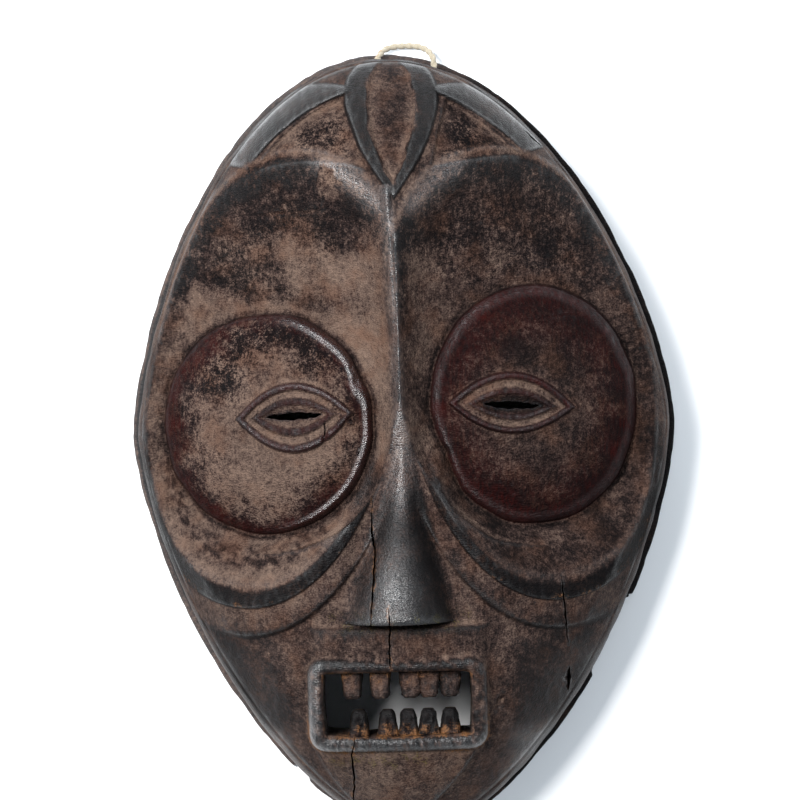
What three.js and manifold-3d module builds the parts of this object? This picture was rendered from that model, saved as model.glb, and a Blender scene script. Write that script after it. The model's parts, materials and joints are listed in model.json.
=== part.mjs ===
// A hollow carved wooden face mask lying face up on its back rim, with its twine hanging loop.
// Millimetres: +X to the viewer's right, +Y to the crown, +Z out of the face, the rim on z = 0.
import * as THREE from 'three';
import { mergeVertices } from 'three/addons/utils/BufferGeometryUtils.js';
import Module from 'manifold-3d';

const wasm = await Module();
wasm.setup();

// Outline of the back rim
const HALF_WIDTH = 135.3;
const CROWN_Y = 196.5;
const CHIN_Y = -196.5;
const WIDEST_Y = 10;
const CROWN_OUTLINE = { run: 1.52, power: 0.5 };
const CHIN_OUTLINE = { run: 1.56, power: 0.64 };
const CROWN_LEAN = { by: -5.6, run: 1.8 };

// Flank, from the floor up to the edge of the face
const FLANGE_HEIGHT = 5;
const FLANGE_PROUD = 4;
const FLANGE_BEVEL = 0.7;
const WALL_TOP = 31;
const WALL_BATTER = 1.2;
const GROOVE_DEPTH = 1.2;
const EDGE_INSET = 8.5;
const EDGE_INSET_CHIN = 12;
const EDGE_Z = { side: 55, crown: 50, chin: 59 };

// Heights of the uncut face
const FOREHEAD_APEX = 121;
const CHEEK_APEX = 104;
const MUZZLE = { x: -5, y: -110, spanX: 58, spanY: 42, rise: 12 };
const EDGE_FALL = 7;

// Eye sockets: a leaning, slightly squared ellipse each, and the dish inside it
const SOCKETS = {
  left: { side: -1, x: -62.8, y: 33.7, a: 61, b: 107, turn: -12.3, power: 2.16 },
  right: { side: 1, x: 59.5, y: 33.4, a: 61, b: 106, turn: 12, power: 2.25 },
};
const SOCKET_FLOOR_Z = 71;
const SOCKET_FLOOR_SLOPE = 0.3;
const SOCKET_LIP = 1.5;
const SOCKET_EDGE_GAP = 2.5;

// Eye discs, with almond lids and a slit
const DISCS = {
  left: { side: -1, x: -65, y: 13.9, a: 49.9, b: 52, z: 79 },
  right: { side: 1, x: 62.5, y: 20, a: 49.4, b: 56.5, z: 79 },
};
const DISC_SLOPE = 0.3;
const DISC_DOME = 12;
const LIDS = {
  left: { x: -51.9, y: 17.6, half: 28, rise: 15.7, drop: 17.3, turn: 1.7 },
  right: { x: 51.1, y: 20, half: 30.1, rise: 15.6, drop: 13.3, turn: -3.4 },
};
const LID_RISE = 3.2;
const SLIT_HALF = 13.2;
const SLIT_WIDTH = 3.2;

// Folds below the sockets: angles in degrees about the left socket, and rings of its outline
const ROLL = { from: -17, to: -172, rise: 9, fall: 2.6, crest: 0.915, outer: 1.015 };
const FOLD = { from: -22, to: -130, rise: 4.4, fall: 1.3, crest: 1.08, outer: 1.14 };

// Nose ridge and nose
const RIDGE_TOP_Y = 121;
const NOSE_BASE_Y = -81;
const NOSE_TIP_Z = 128;
const RIDGE_Z = 103;
const NOSE_HALF_BASE = 26;
const NOSE_PROFILE = { length: 78, bow: 1.35, level: 0.35 };
const NOSE_ROOT_Z = 84;

// Lip panel, mouth and teeth
const LIP_PANEL = { x: -5.4, top: -84, bottom: -97, half: 40.5, rise: 3.6 };
const MOUTH = {
  x: -6.6, y: -119, halfX: 35, halfY: 15.5, corner: 4, rounding: 0.35, lip: 7, rise: 6, flatness: 0.45,
};
const TOOTH = { root: 10.6, tip: 8.2, length: 13, thickness: 10, depth: 3 };
const UPPER_TEETH = [-27.8, -14.6, -0.5, 8.2, 18.3];
const LOWER_TEETH = [-25.3, -11.6, -1.8, 7.7, 18];
const CHIN_PANEL = { top: -141, length: 40, half: 40, x: -7.5, lean: -4, rise: 3.2 };

// Forehead carving
const LEAF = { x: -2, bottom: 118, top: 187, half: 23, rise: 3 };
const LEAF_HOLLOW = { x: -2.2, bottom: 125, top: 185, half: 12, depth: 2.6 };
const CRESCENTS = [
  { start: [-23, 172.5], bend: [-60, 171], end: [-76, 137.5] },
  { start: [20, 172], bend: [53, 167.5], end: [66, 142] },
];
const CRESCENT_RISE = 3.4;
const TRIANGLES = [
  [[-25.5, 165], [-64, 137.5], [-17, 137]],
  [[22.5, 164], [57, 141], [17, 138]],
];
const TRIANGLE_DEPTH = 2.8;

// Damage
const CHIP = { x: -33.5, y: 128, z: 101, radii: [6.5, 9, 6] };
const FLANGE_LOSSES = [
  { from: -25.1, to: -37.6, reach: 2.4 },
  { from: -122.4, to: -125.4, reach: 3.4 },
];

// Hollow back
const WALL = 12.5;
const RIM_WIDTH = 12.5;
const HOLLOW_SHOULDER_Z = 30;
const HOLLOW_TOP_Z = 90;

// Twine loop through two holes in the crown's flank
const TWINE = { diameter: 3.2, sides: 8, steps: 34, reach: 200.2, z: 11.5, restZ: 4.6 };
const HOLE = { diameter: 5.4, length: 50, left: -8.5, right: 20 };
const KNOT = { radius: 3.9, flatness: 0.9, clearance: 1.6 };
const GAP = 0.3;

// How deep applied relief is rooted in the wood, and how far the cutting bodies reach past it
const ROOTED = 6;
const CLEAR_TOP_Z = 170;
const CLEAR_ABOVE = 12;
const CLEAR_BELOW = 2;
const INSIDE_HOLLOW_Z = 35;

// Facets of the main forms: turns round the mask, and rings as shares of the way to its middle
const BLOCK_TURNS = 60;
const HOLLOW_TURNS = 40;
const FACE_RINGS = [0.975, 0.93, 0.86, 0.75, 0.6, 0.4];
const HOLLOW_RINGS = [0.97, 0.9, 0.78, 0.62, 0.44, 0.24];

const degrees = (angle) => (angle * Math.PI) / 180;
const mix = (a, b, t) => a + (b - a) * t;
const clamp = (value, low = 0, high = 1) => Math.min(Math.max(value, low), high);

function smoothstep(from, to, value) {
  const t = clamp((value - from) / (to - from));
  return t * t * (3 - 2 * t);
}

// How far along its half the outline has come, 0 where it is widest and 1 at the crown or the chin
function runAt(y) {
  return clamp(y >= WIDEST_Y ? (y - WIDEST_Y) / (CROWN_Y - WIDEST_Y) : (WIDEST_Y - y) / (WIDEST_Y - CHIN_Y));
}

function rimHalfWidth(y) {
  const shape = y >= WIDEST_Y ? CROWN_OUTLINE : CHIN_OUTLINE;
  return HALF_WIDTH * (1 - runAt(y) ** shape.run) ** shape.power;
}

function rimLean(y) {
  return y > WIDEST_Y ? CROWN_LEAN.by * runAt(y) ** CROWN_LEAN.run : 0;
}

// The rim's point at a turn about the centre line, from +X anticlockwise, moved in by some millimetres
function rimPoint(turn, inset = 0) {
  const reach = Math.sin(turn) >= 0 ? CROWN_Y - WIDEST_Y : WIDEST_Y - CHIN_Y;
  const y = WIDEST_Y + reach * Math.sin(turn);
  const side = Math.cos(turn) >= 0 ? 1 : -1;
  const x = rimLean(y) + side * rimHalfWidth(y);
  const keep = 1 - inset / Math.hypot(x, y - WIDEST_Y);
  return [x * keep, WIDEST_Y + (y - WIDEST_Y) * keep];
}

// The scale at which the rim outline, shrunk about the middle, passes through a point
function rimScale(x, y) {
  let low = 0.001;
  let high = 1.6;
  for (let step = 0; step < 26; step += 1) {
    const scale = (low + high) / 2;
    const outlineY = WIDEST_Y + (y - WIDEST_Y) / scale;
    const beyond = outlineY > CROWN_Y || outlineY < CHIN_Y;
    if (beyond || Math.abs(x / scale - rimLean(outlineY)) > rimHalfWidth(outlineY)) {
      low = scale;
    } else {
      high = scale;
    }
  }
  return high;
}

// How far a point lies towards the crown or the chin, 0 at the sides and 1 at the ends
function endwards(x, y) {
  const reach = Math.hypot(x, y - WIDEST_Y);
  return reach < 1e-6 ? 0 : ((y - WIDEST_Y) / reach) ** 2;
}

function edgeInset(x, y) {
  return y > WIDEST_Y ? EDGE_INSET : mix(EDGE_INSET, EDGE_INSET_CHIN, endwards(x, y));
}

function edgeZ(x, y) {
  return mix(EDGE_Z.side, y > WIDEST_Y ? EDGE_Z.crown : EDGE_Z.chin, endwards(x, y));
}

// Height of the uncut face: a dome that rises from the face's edge, with a swell behind the mouth
function faceZ(x, y) {
  const reach = Math.hypot(x, y - WIDEST_Y);
  const scale = reach < 1e-6 ? 0 : rimScale(x, y);
  const edge = reach < 1e-6 ? 1 : 1 - (edgeInset(x, y) * scale) / reach;
  const inside = clamp(1 - (scale / edge) ** 2);
  const beyond = reach * Math.max(1 - edge / Math.max(scale, 1e-6), 0);
  const apex = mix(CHEEK_APEX, FOREHEAD_APEX, smoothstep(-20, 90, y));
  const base = edgeZ(x, y);
  const swell = Math.exp(-(((x - MUZZLE.x) / MUZZLE.spanX) ** 2 + ((y - MUZZLE.y) / MUZZLE.spanY) ** 2) / 2);
  const rise = inside ** mix(0.8, 0.54, endwards(x, y));
  return base + (apex - base) * rise + MUZZLE.rise * swell * smoothstep(0, 0.25, inside) - EDGE_FALL * beyond;
}

// How far inside the edge of the face a point lies, measured towards the middle
function edgeRoom(x, y) {
  const reach = Math.hypot(x, y - WIDEST_Y);
  const scale = rimScale(x, y);
  return (reach / scale) * (1 - scale) - edgeInset(x, y);
}

function fadeAtEdge(x, y) {
  return smoothstep(0, 13, edgeRoom(x, y));
}

// The same point, or one pulled in towards the middle until it is on the face
function onFace([x, y]) {
  const reach = Math.hypot(x, y - WIDEST_Y);
  const keep = 1 + Math.min(edgeRoom(x, y) + 0.6, 0) / reach;
  return [x * keep, WIDEST_Y + (y - WIDEST_Y) * keep];
}

// A point of a socket's plan: the angle runs from +X anticlockwise, and ring 1 is the socket's outline
function socketRadius(socket, angle) {
  const p = socket.power;
  const across = Math.abs(Math.cos(angle)) / socket.a;
  const along = Math.abs(Math.sin(angle)) / socket.b;
  return 1 / (across ** p + along ** p) ** (1 / p);
}

function socketPoint(socket, angle, radius) {
  const heading = angle + degrees(socket.turn);
  return [socket.x + radius * Math.cos(heading), socket.y + radius * Math.sin(heading)];
}

// How strongly a fold shows at an angle about its socket, 0 at its two ends and 1 between them
function foldWeight(fold, socket, angle) {
  const left = socket.side < 0 ? angle : Math.PI - angle;
  const turned = THREE.MathUtils.euclideanModulo(degrees(fold.from) - left, 2 * Math.PI);
  const run = clamp(turned / (degrees(fold.from) - degrees(fold.to)));
  return Math.sin(Math.PI * run) ** 0.6;
}

// The crest where a socket's dish ends: it keeps inside the roll below and inside the edge of the face
function socketCrest(socket, angle) {
  const weight = foldWeight(ROLL, socket, angle);
  let radius = socketRadius(socket, angle) * mix(1, ROLL.crest, weight);
  for (let step = 0; step < 40; step += 1) {
    const room = edgeRoom(...socketPoint(socket, angle, radius)) - SOCKET_EDGE_GAP;
    if (room >= 0) break;
    radius += Math.min(room, -0.2);
  }
  const [x, y] = socketPoint(socket, angle, radius);
  return { radius, z: faceZ(x, y) + ROLL.rise * weight * fadeAtEdge(x, y) - SOCKET_LIP };
}

// Height of a socket's dish, which sweeps up to its crest, steeply beside the nose
function socketZ(socket, x, y) {
  const inward = -socket.side * (x - socket.x);
  const floor = SOCKET_FLOOR_Z + SOCKET_FLOOR_SLOPE * inward;
  const angle = Math.atan2(y - socket.y, x - socket.x) - degrees(socket.turn);
  const crest = socketCrest(socket, angle);
  const ring = Math.hypot(x - socket.x, y - socket.y) / crest.radius;
  const power = mix(1.9, 4, smoothstep(20, 52, inward));
  return floor + (crest.z - floor) * clamp((ring - 0.3) / 0.7, 0, 1.3) ** power;
}

function ridgeX(y) {
  return y > 0 ? mix(-1.3, -5, clamp(y / RIDGE_TOP_Y)) : mix(-1.3, -4.6, clamp(y / NOSE_BASE_Y));
}

function ridgeZ(y) {
  const rise = 6 * clamp((y - 24) / 96) ** 2;
  const run = clamp(-y / NOSE_PROFILE.length);
  const bowed = (1 + NOSE_PROFILE.level) * run ** NOSE_PROFILE.bow - NOSE_PROFILE.level * run ** 4;
  return RIDGE_Z + rise + (NOSE_TIP_Z - RIDGE_Z) * bowed;
}

function noseHalf(y) {
  return mix(4, NOSE_HALF_BASE, clamp(y / NOSE_BASE_Y) ** 1.1);
}

// Height of the nose ridge, sharp and hollow-sided above, widening to a rounded nose below
function noseZ(x, y) {
  const away = Math.abs(x - ridgeX(y));
  const sharp = ridgeZ(y) - 15 * (1 - Math.exp(-away / 5.5)) - 0.35 * away;
  const round = ridgeZ(y) - mix(12, 27, clamp(y / NOSE_BASE_Y)) * (away / noseHalf(y)) ** 2.5;
  return mix(sharp, round, smoothstep(14, -22, y));
}

function discRing(disc, x, y) {
  return Math.hypot((x - disc.x) / disc.a, (y - disc.y) / disc.b);
}

function discZ(disc, x, y) {
  const plane = disc.z - DISC_SLOPE * disc.side * (x - disc.x);
  return plane + DISC_DOME * clamp(1 - discRing(disc, x, y) ** 2.2);
}

// Turn a closed geometry into a solid, facing out
function toSolid(geometry) {
  const shared = geometry.clone();
  shared.deleteAttribute('normal');
  shared.deleteAttribute('uv');
  const merged = mergeVertices(shared, 1e-4);
  const vertProperties = new Float32Array(merged.attributes.position.array);
  const triVerts = new Uint32Array(merged.index.array);
  return new wasm.Manifold(new wasm.Mesh({ numProp: 3, vertProperties, triVerts }));
}

function toGeometry(solid) {
  const mesh = solid.getMesh();
  const geometry = new THREE.BufferGeometry();
  geometry.setAttribute('position', new THREE.BufferAttribute(new Float32Array(mesh.vertProperties), 3));
  geometry.setIndex(new THREE.BufferAttribute(new Uint32Array(mesh.triVerts), 1));
  geometry.computeVertexNormals();
  return geometry;
}

// A geometry from points and triangles, with its faces turned out if they face in
function closedGeometry(points, triangles) {
  let volume = 0;
  for (const [a, b, c] of triangles) {
    const [p, q, r] = [points[a], points[b], points[c]];
    volume += p[0] * (q[1] * r[2] - q[2] * r[1]);
    volume += p[1] * (q[2] * r[0] - q[0] * r[2]);
    volume += p[2] * (q[0] * r[1] - q[1] * r[0]);
  }
  const faces = volume >= 0 ? triangles : triangles.map(([a, b, c]) => [a, c, b]);
  const geometry = new THREE.BufferGeometry();
  geometry.setAttribute('position', new THREE.Float32BufferAttribute(points.flat(), 3));
  geometry.setIndex(faces.flat());
  return geometry;
}

// A body made of rings stacked from a first to a last, both closed by a fan to their middle
function stack(turns, rings, place) {
  const points = [];
  const triangles = [];
  for (let ring = 0; ring < rings; ring += 1) {
    for (let step = 0; step < turns; step += 1) {
      points.push(place(ring, (2 * Math.PI * step) / turns));
    }
  }
  const middle = (ring) => {
    const row = points.slice(ring * turns, (ring + 1) * turns);
    return [0, 1, 2].map((axis) => row.reduce((sum, point) => sum + point[axis], 0) / turns);
  };
  const first = points.length;
  points.push(middle(0), place(rings, 0));
  for (let step = 0; step < turns; step += 1) {
    const next = (step + 1) % turns;
    triangles.push([first, next, step]);
    for (let ring = 0; ring + 1 < rings; ring += 1) {
      const [a, b] = [ring * turns + step, ring * turns + next];
      triangles.push([a, b, b + turns], [a, b + turns, a + turns]);
    }
    const top = (rings - 1) * turns;
    triangles.push([top + step, top + next, first + 1]);
  }
  return toSolid(closedGeometry(points, triangles));
}

// A body over a patch of the plan, with its own top and bottom heights.
// The patch is a strip, or a closed band, or with a hub a whole disc about its middle.
function slab({ across, along, place, top, bottom, closed = false, hub = false }) {
  const columns = closed ? along : along + 1;
  const points = [];
  const layer = (height) => {
    const rows = [];
    for (let row = 0; row <= across; row += 1) {
      const onHub = hub && row === 0;
      const line = [];
      for (let column = 0; column < columns; column += 1) {
        if (!onHub || column === 0) {
          const [x, y] = place(column / along, row / across);
          points.push([x, y, height(x, y, column / along, row / across)]);
        }
        line.push(points.length - 1);
      }
      rows.push(line);
    }
    return rows;
  };
  const upper = layer(top);
  const lower = layer(bottom);
  const triangles = [];
  const quad = (a, b, c, d) => {
    if (a !== b) triangles.push([a, b, c]);
    if (c !== d) triangles.push([a, c, d]);
  };
  for (let column = 0; column < along; column += 1) {
    const next = (column + 1) % columns;
    for (let row = 0; row < across; row += 1) {
      quad(upper[row][column], upper[row][next], upper[row + 1][next], upper[row + 1][column]);
      quad(lower[row][next], lower[row][column], lower[row + 1][column], lower[row + 1][next]);
    }
    if (!hub) quad(lower[0][column], lower[0][next], upper[0][next], upper[0][column]);
    quad(upper[across][column], upper[across][next], lower[across][next], lower[across][column]);
  }
  if (!closed) {
    for (let row = 0; row < across; row += 1) {
      quad(upper[row][0], upper[row + 1][0], lower[row + 1][0], lower[row][0]);
      quad(lower[row][along], lower[row + 1][along], upper[row + 1][along], upper[row][along]);
    }
  }
  return toSolid(closedGeometry(points, triangles));
}

// The uncut block: flange, wall, groove, band and face
function block() {
  const wallTop = FLANGE_PROUD + WALL_BATTER;
  const flank = [
    [0, 0],
    [0, FLANGE_HEIGHT - FLANGE_BEVEL],
    [FLANGE_BEVEL, FLANGE_HEIGHT],
    [FLANGE_PROUD, FLANGE_HEIGHT + FLANGE_BEVEL],
    [wallTop, WALL_TOP],
    [wallTop + GROOVE_DEPTH, WALL_TOP + GROOVE_DEPTH],
  ];
  const band = [[0.08, 0.16], [0.4, 0.66], [1, 1]];
  const rings = flank.length + band.length + FACE_RINGS.length;
  return stack(BLOCK_TURNS, rings, (ring, turn) => {
    if (ring === rings) return [0, WIDEST_Y, faceZ(0, WIDEST_Y)];
    if (ring < flank.length) {
      const [inset, z] = flank[ring];
      return [...rimPoint(turn, inset), z];
    }
    const [x, y] = rimPoint(turn);
    const edge = edgeInset(x, y);
    if (ring < flank.length + band.length) {
      const [inwards, upwards] = band[ring - flank.length];
      const z = mix(WALL_TOP + GROOVE_DEPTH, edgeZ(x, y), upwards);
      return [...rimPoint(turn, mix(wallTop, edge, inwards)), z];
    }
    const [edgeX, edgeY] = rimPoint(turn, edge);
    const keep = FACE_RINGS[ring - flank.length - band.length];
    const [px, py] = [edgeX * keep, WIDEST_Y + (edgeY - WIDEST_Y) * keep];
    return [px, py, faceZ(px, py)];
  });
}

// The hollow behind the face, which follows the face at the wall's thickness
function hollow() {
  const wall = [[RIM_WIDTH, -CLEAR_BELOW], [RIM_WIDTH + 0.6, 12], [RIM_WIDTH + 3.5, HOLLOW_SHOULDER_Z]];
  const rings = wall.length + HOLLOW_RINGS.length;
  const ceiling = (x, y, keep) => {
    const cut = Math.min(faceZ(x, y), socketZ(SOCKETS.left, x, y), socketZ(SOCKETS.right, x, y));
    const dome = mix(HOLLOW_SHOULDER_Z, HOLLOW_TOP_Z, (1 - keep ** 2) ** 0.62);
    return Math.min(dome, cut - WALL);
  };
  return stack(HOLLOW_TURNS, rings, (ring, turn) => {
    if (ring === rings) return [0, WIDEST_Y, ceiling(0, WIDEST_Y, 0)];
    if (ring < wall.length) {
      const [inset, z] = wall[ring];
      return [...rimPoint(turn, inset), z];
    }
    const keep = HOLLOW_RINGS[ring - wall.length];
    const [edgeX, edgeY] = rimPoint(turn, RIM_WIDTH + 4);
    const [x, y] = [edgeX * keep, WIDEST_Y + (edgeY - WIDEST_Y) * keep];
    return [x, y, ceiling(x, y, keep)];
  });
}

function socketCut(socket) {
  return slab({
    along: 36,
    across: 6,
    closed: true,
    hub: true,
    place: (u, v) => {
      const angle = 2 * Math.PI * u;
      return socketPoint(socket, angle, socketCrest(socket, angle).radius * (1 - (1 - v) ** 1.5));
    },
    top: () => CLEAR_TOP_Z,
    bottom: (x, y) => socketZ(socket, x, y),
  });
}

// A fold that bounds a socket below, from beside the nose round to the flank, rounded off outwards
function fold(socket, shape) {
  const inner = 0.8;
  const angleAt = (u) => {
    const left = degrees(mix(shape.from, shape.to, u));
    return socket.side < 0 ? left : Math.PI - left;
  };
  const lift = (x, y, u, v) => {
    const ring = mix(inner, shape.outer, v ** 0.5);
    const down = shape.fall * clamp((ring - shape.crest) / (shape.outer - shape.crest)) ** 1.6;
    return (shape.rise - down) * foldWeight(shape, socket, angleAt(clamp(u, 0.01, 0.99))) * fadeAtEdge(x, y);
  };
  return slab({
    along: 16,
    across: 4,
    place: (u, v) => {
      const angle = angleAt(u);
      const radius = socketRadius(socket, angle) * mix(inner, shape.outer, v ** 0.5);
      return onFace(socketPoint(socket, angle, radius));
    },
    top: (x, y, u, v) => faceZ(x, y) + lift(x, y, u, v),
    bottom: (x, y) => faceZ(x, y) - 2 * ROOTED,
  });
}

function nose() {
  return slab({
    along: 16,
    across: 8,
    place: (u, v) => {
      const y = mix(RIDGE_TOP_Y, NOSE_BASE_Y, u);
      const half = Math.max(noseHalf(y), mix(13, 4, smoothstep(10, -30, y)));
      const away = 2 * v - 1;
      return [ridgeX(y) + half * Math.sign(away) * Math.abs(away) ** 1.4, y];
    },
    top: noseZ,
    bottom: (x, y) => Math.min(noseZ(x, y) - ROOTED, NOSE_ROOT_Z),
  });
}

function eyeDisc(disc) {
  return slab({
    along: 32,
    across: 3,
    closed: true,
    hub: true,
    place: (u, v) => {
      const ring = 1 - (1 - v) ** 1.3;
      return [
        disc.x + disc.a * ring * Math.cos(2 * Math.PI * u),
        disc.y + disc.b * ring * Math.sin(2 * Math.PI * u),
      ];
    },
    top: (x, y) => discZ(disc, x, y),
    bottom: (x, y) => discZ(disc, x, y) - 3 * ROOTED,
  });
}

// A point of an almond: u runs round it from its outer corner, v from its long axis to its outline
function almondPoint(lid, u, v, half = lid.half, rise = lid.rise, drop = lid.drop) {
  const turn = degrees(lid.turn);
  const along = half * Math.cos(2 * Math.PI * u);
  const bow = 1 - (along / half) ** 2;
  const away = (Math.sin(2 * Math.PI * u) >= 0 ? rise : -drop) * bow * v;
  return [
    lid.x + along * mix(0.35, 1, v) * Math.cos(turn) - away * Math.sin(turn),
    lid.y + along * mix(0.35, 1, v) * Math.sin(turn) + away * Math.cos(turn),
  ];
}

// An almond lid: a raised outline, a groove inside it, and the lids that close on the slit
function eyeLid(disc, lid) {
  const relief = (v) => LID_RISE * mix(1, Math.cos(2.2 * Math.PI * (v - 0.9)) ** 2, 0.75);
  return slab({
    along: 16,
    across: 5,
    closed: true,
    hub: true,
    place: (u, v) => almondPoint(lid, u, v),
    top: (x, y, u, v) => discZ(disc, x, y) + relief(v),
    bottom: (x, y) => discZ(disc, x, y) - ROOTED,
  });
}

function eyeSlit(lid) {
  return slab({
    along: 12,
    across: 1,
    closed: true,
    hub: true,
    place: (u, v) => almondPoint(lid, u, v, SLIT_HALF, SLIT_WIDTH / 2, SLIT_WIDTH / 2),
    top: () => CLEAR_TOP_Z,
    bottom: () => INSIDE_HOLLOW_Z,
  });
}

// A pointed leaf across the forehead, wider above its middle
function leafHalf(leaf, y) {
  const run = clamp((y - leaf.bottom) / (leaf.top - leaf.bottom), 0.004, 0.996);
  return leaf.half * (run ** 1.1 * (1 - run) ** 0.38) / 0.43;
}

function leafPatch(leaf, top, bottom, along, across) {
  return slab({
    along,
    across,
    place: (u, v) => {
      const y = mix(leaf.bottom, leaf.top, u);
      return [leaf.x + leafHalf(leaf, y) * (2 * v - 1), y];
    },
    top,
    bottom,
  });
}

function crescent({ start, bend, end }) {
  const spine = new THREE.QuadraticBezierCurve(
    new THREE.Vector2(...start), new THREE.Vector2(...bend), new THREE.Vector2(...end));
  return slab({
    along: 12,
    across: 3,
    place: (u, v) => {
      const point = spine.getPoint(u);
      const tangent = spine.getTangent(u);
      const half = 2.4 + 2.4 * u + 4 * Math.sin(Math.PI * u);
      return onFace([point.x - tangent.y * half * (2 * v - 1), point.y + tangent.x * half * (2 * v - 1)]);
    },
    top: (x, y, u, v) => faceZ(x, y) + CRESCENT_RISE * (1 - 0.4 * (2 * v - 1) ** 2) * fadeAtEdge(x, y) ** 0.3,
    bottom: (x, y) => faceZ(x, y) - ROOTED,
  });
}

// A three-sided field with slightly bowed sides
function triangleField(corners) {
  const middle = [0, 1].map((axis) => corners.reduce((sum, corner) => sum + corner[axis], 0) / 3);
  return slab({
    along: 15,
    across: 2,
    closed: true,
    hub: true,
    place: (u, v) => {
      const side = Math.floor(3 * u + 1e-6) % 3;
      const t = 3 * u - side;
      const edge = [0, 1].map((axis) => mix(corners[side][axis], corners[(side + 1) % 3][axis], clamp(t)));
      return [0, 1].map((axis) => mix(middle[axis], edge[axis], v * (1 + 0.16 * t * (1 - t))));
    },
    top: (x, y) => faceZ(x, y) + CLEAR_ABOVE,
    bottom: (x, y) => faceZ(x, y) - TRIANGLE_DEPTH,
  });
}

function lipPanel() {
  return slab({
    along: 10,
    across: 2,
    place: (u, v) => {
      const half = LIP_PANEL.half * mix(0.97, 1.03, v);
      return [LIP_PANEL.x + half * (2 * u - 1), mix(LIP_PANEL.top, LIP_PANEL.bottom - ROOTED, v)];
    },
    top: (x, y) => faceZ(x, y) + LIP_PANEL.rise,
    bottom: (x, y) => faceZ(x, y) - ROOTED,
  });
}

// A point of a rounded rectangle about the mouth, grown by some millimetres
function mouthPoint(u, grow) {
  const angle = 2 * Math.PI * u;
  const corner = MOUTH.corner + grow * MOUTH.rounding;
  const halfX = MOUTH.halfX + grow - corner;
  const halfY = MOUTH.halfY + grow - corner;
  const cos = Math.cos(angle);
  const sin = Math.sin(angle);
  const flat = Math.max(Math.abs(cos), Math.abs(sin));
  const alongX = clamp((cos / flat) * 1.25, -1, 1) * halfX;
  const alongY = clamp((sin / flat) * 1.25, -1, 1) * halfY;
  return [MOUTH.x + alongX + corner * cos, MOUTH.y + alongY + corner * sin];
}

// The mouth's own level, flatter than the face that it sits on
function mouthLevel(x, y) {
  return mix(faceZ(x, y), faceZ(MOUTH.x, MOUTH.y), MOUTH.flatness);
}

function mouthFrame() {
  return slab({
    along: 32,
    across: 4,
    closed: true,
    place: (u, v) => mouthPoint(u, mix(-0.5, MOUTH.lip, v)),
    top: (x, y, u, v) => mouthLevel(x, y) + MOUTH.rise * Math.sqrt(clamp(1 - (1.8 * v - 0.9) ** 2)),
    bottom: (x, y) => faceZ(x, y) - ROOTED,
  });
}

function mouthOpening() {
  return slab({
    along: 32,
    across: 1,
    closed: true,
    hub: true,
    place: (u, v) => (v === 0 ? [MOUTH.x, MOUTH.y] : mouthPoint(u, 0)),
    top: () => CLEAR_TOP_Z,
    bottom: () => INSIDE_HOLLOW_Z,
  });
}

// A peg tooth from the lip's inner edge towards the middle of the mouth
function tooth(x, side, length) {
  const root = MOUTH.y + side * (MOUTH.halfY + 3);
  const level = mouthLevel(x, root) - TOOTH.depth;
  return slab({
    along: 2,
    across: 2,
    place: (u, v) => {
      const width = mix(TOOTH.root, TOOTH.tip, v);
      const rounded = v < 1 ? 0 : side * 1.2 * (2 * u - 1) ** 2;
      return [x + width * (u - 0.5), mix(root, MOUTH.y + side * (MOUTH.halfY - length), v) + rounded];
    },
    top: (px, py, u, v) => level + 1.2 * (1 - (2 * u - 1) ** 2) - 1.5 * v ** 2,
    bottom: () => level - TOOTH.thickness,
  });
}

function chinPanel() {
  const { top, length, half, x, lean, rise } = CHIN_PANEL;
  return slab({
    along: 8,
    across: 6,
    place: (u, v) => {
      const run = 0.96 * u;
      return [x + lean * run + half * (1 - run ** 1.4) ** 0.8 * (2 * v - 1), top + 4 - (length + 4) * u];
    },
    top: (px, py) => faceZ(px, py) + rise,
    bottom: (px, py) => faceZ(px, py) - ROOTED,
  });
}

function chip() {
  const scoop = new THREE.IcosahedronGeometry(1, 2);
  scoop.scale(...CHIP.radii);
  scoop.translate(CHIP.x, CHIP.y, CHIP.z);
  return toSolid(scoop);
}

// A stretch of the flange that has broken away, between two angles in degrees
function flangeLoss({ from, to, reach }) {
  return slab({
    along: 6,
    across: 1,
    place: (u, v) => rimPoint(degrees(mix(from, to, u)), mix(-FLANGE_PROUD, reach, v)),
    top: () => FLANGE_HEIGHT + 2 * FLANGE_BEVEL,
    bottom: () => -CLEAR_BELOW,
  });
}

function stringHole(x) {
  const bore = new THREE.CylinderGeometry(HOLE.diameter / 2, HOLE.diameter / 2, HOLE.length, 10);
  bore.translate(x, CROWN_Y - RIM_WIDTH, TWINE.z);
  return toSolid(bore);
}

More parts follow.
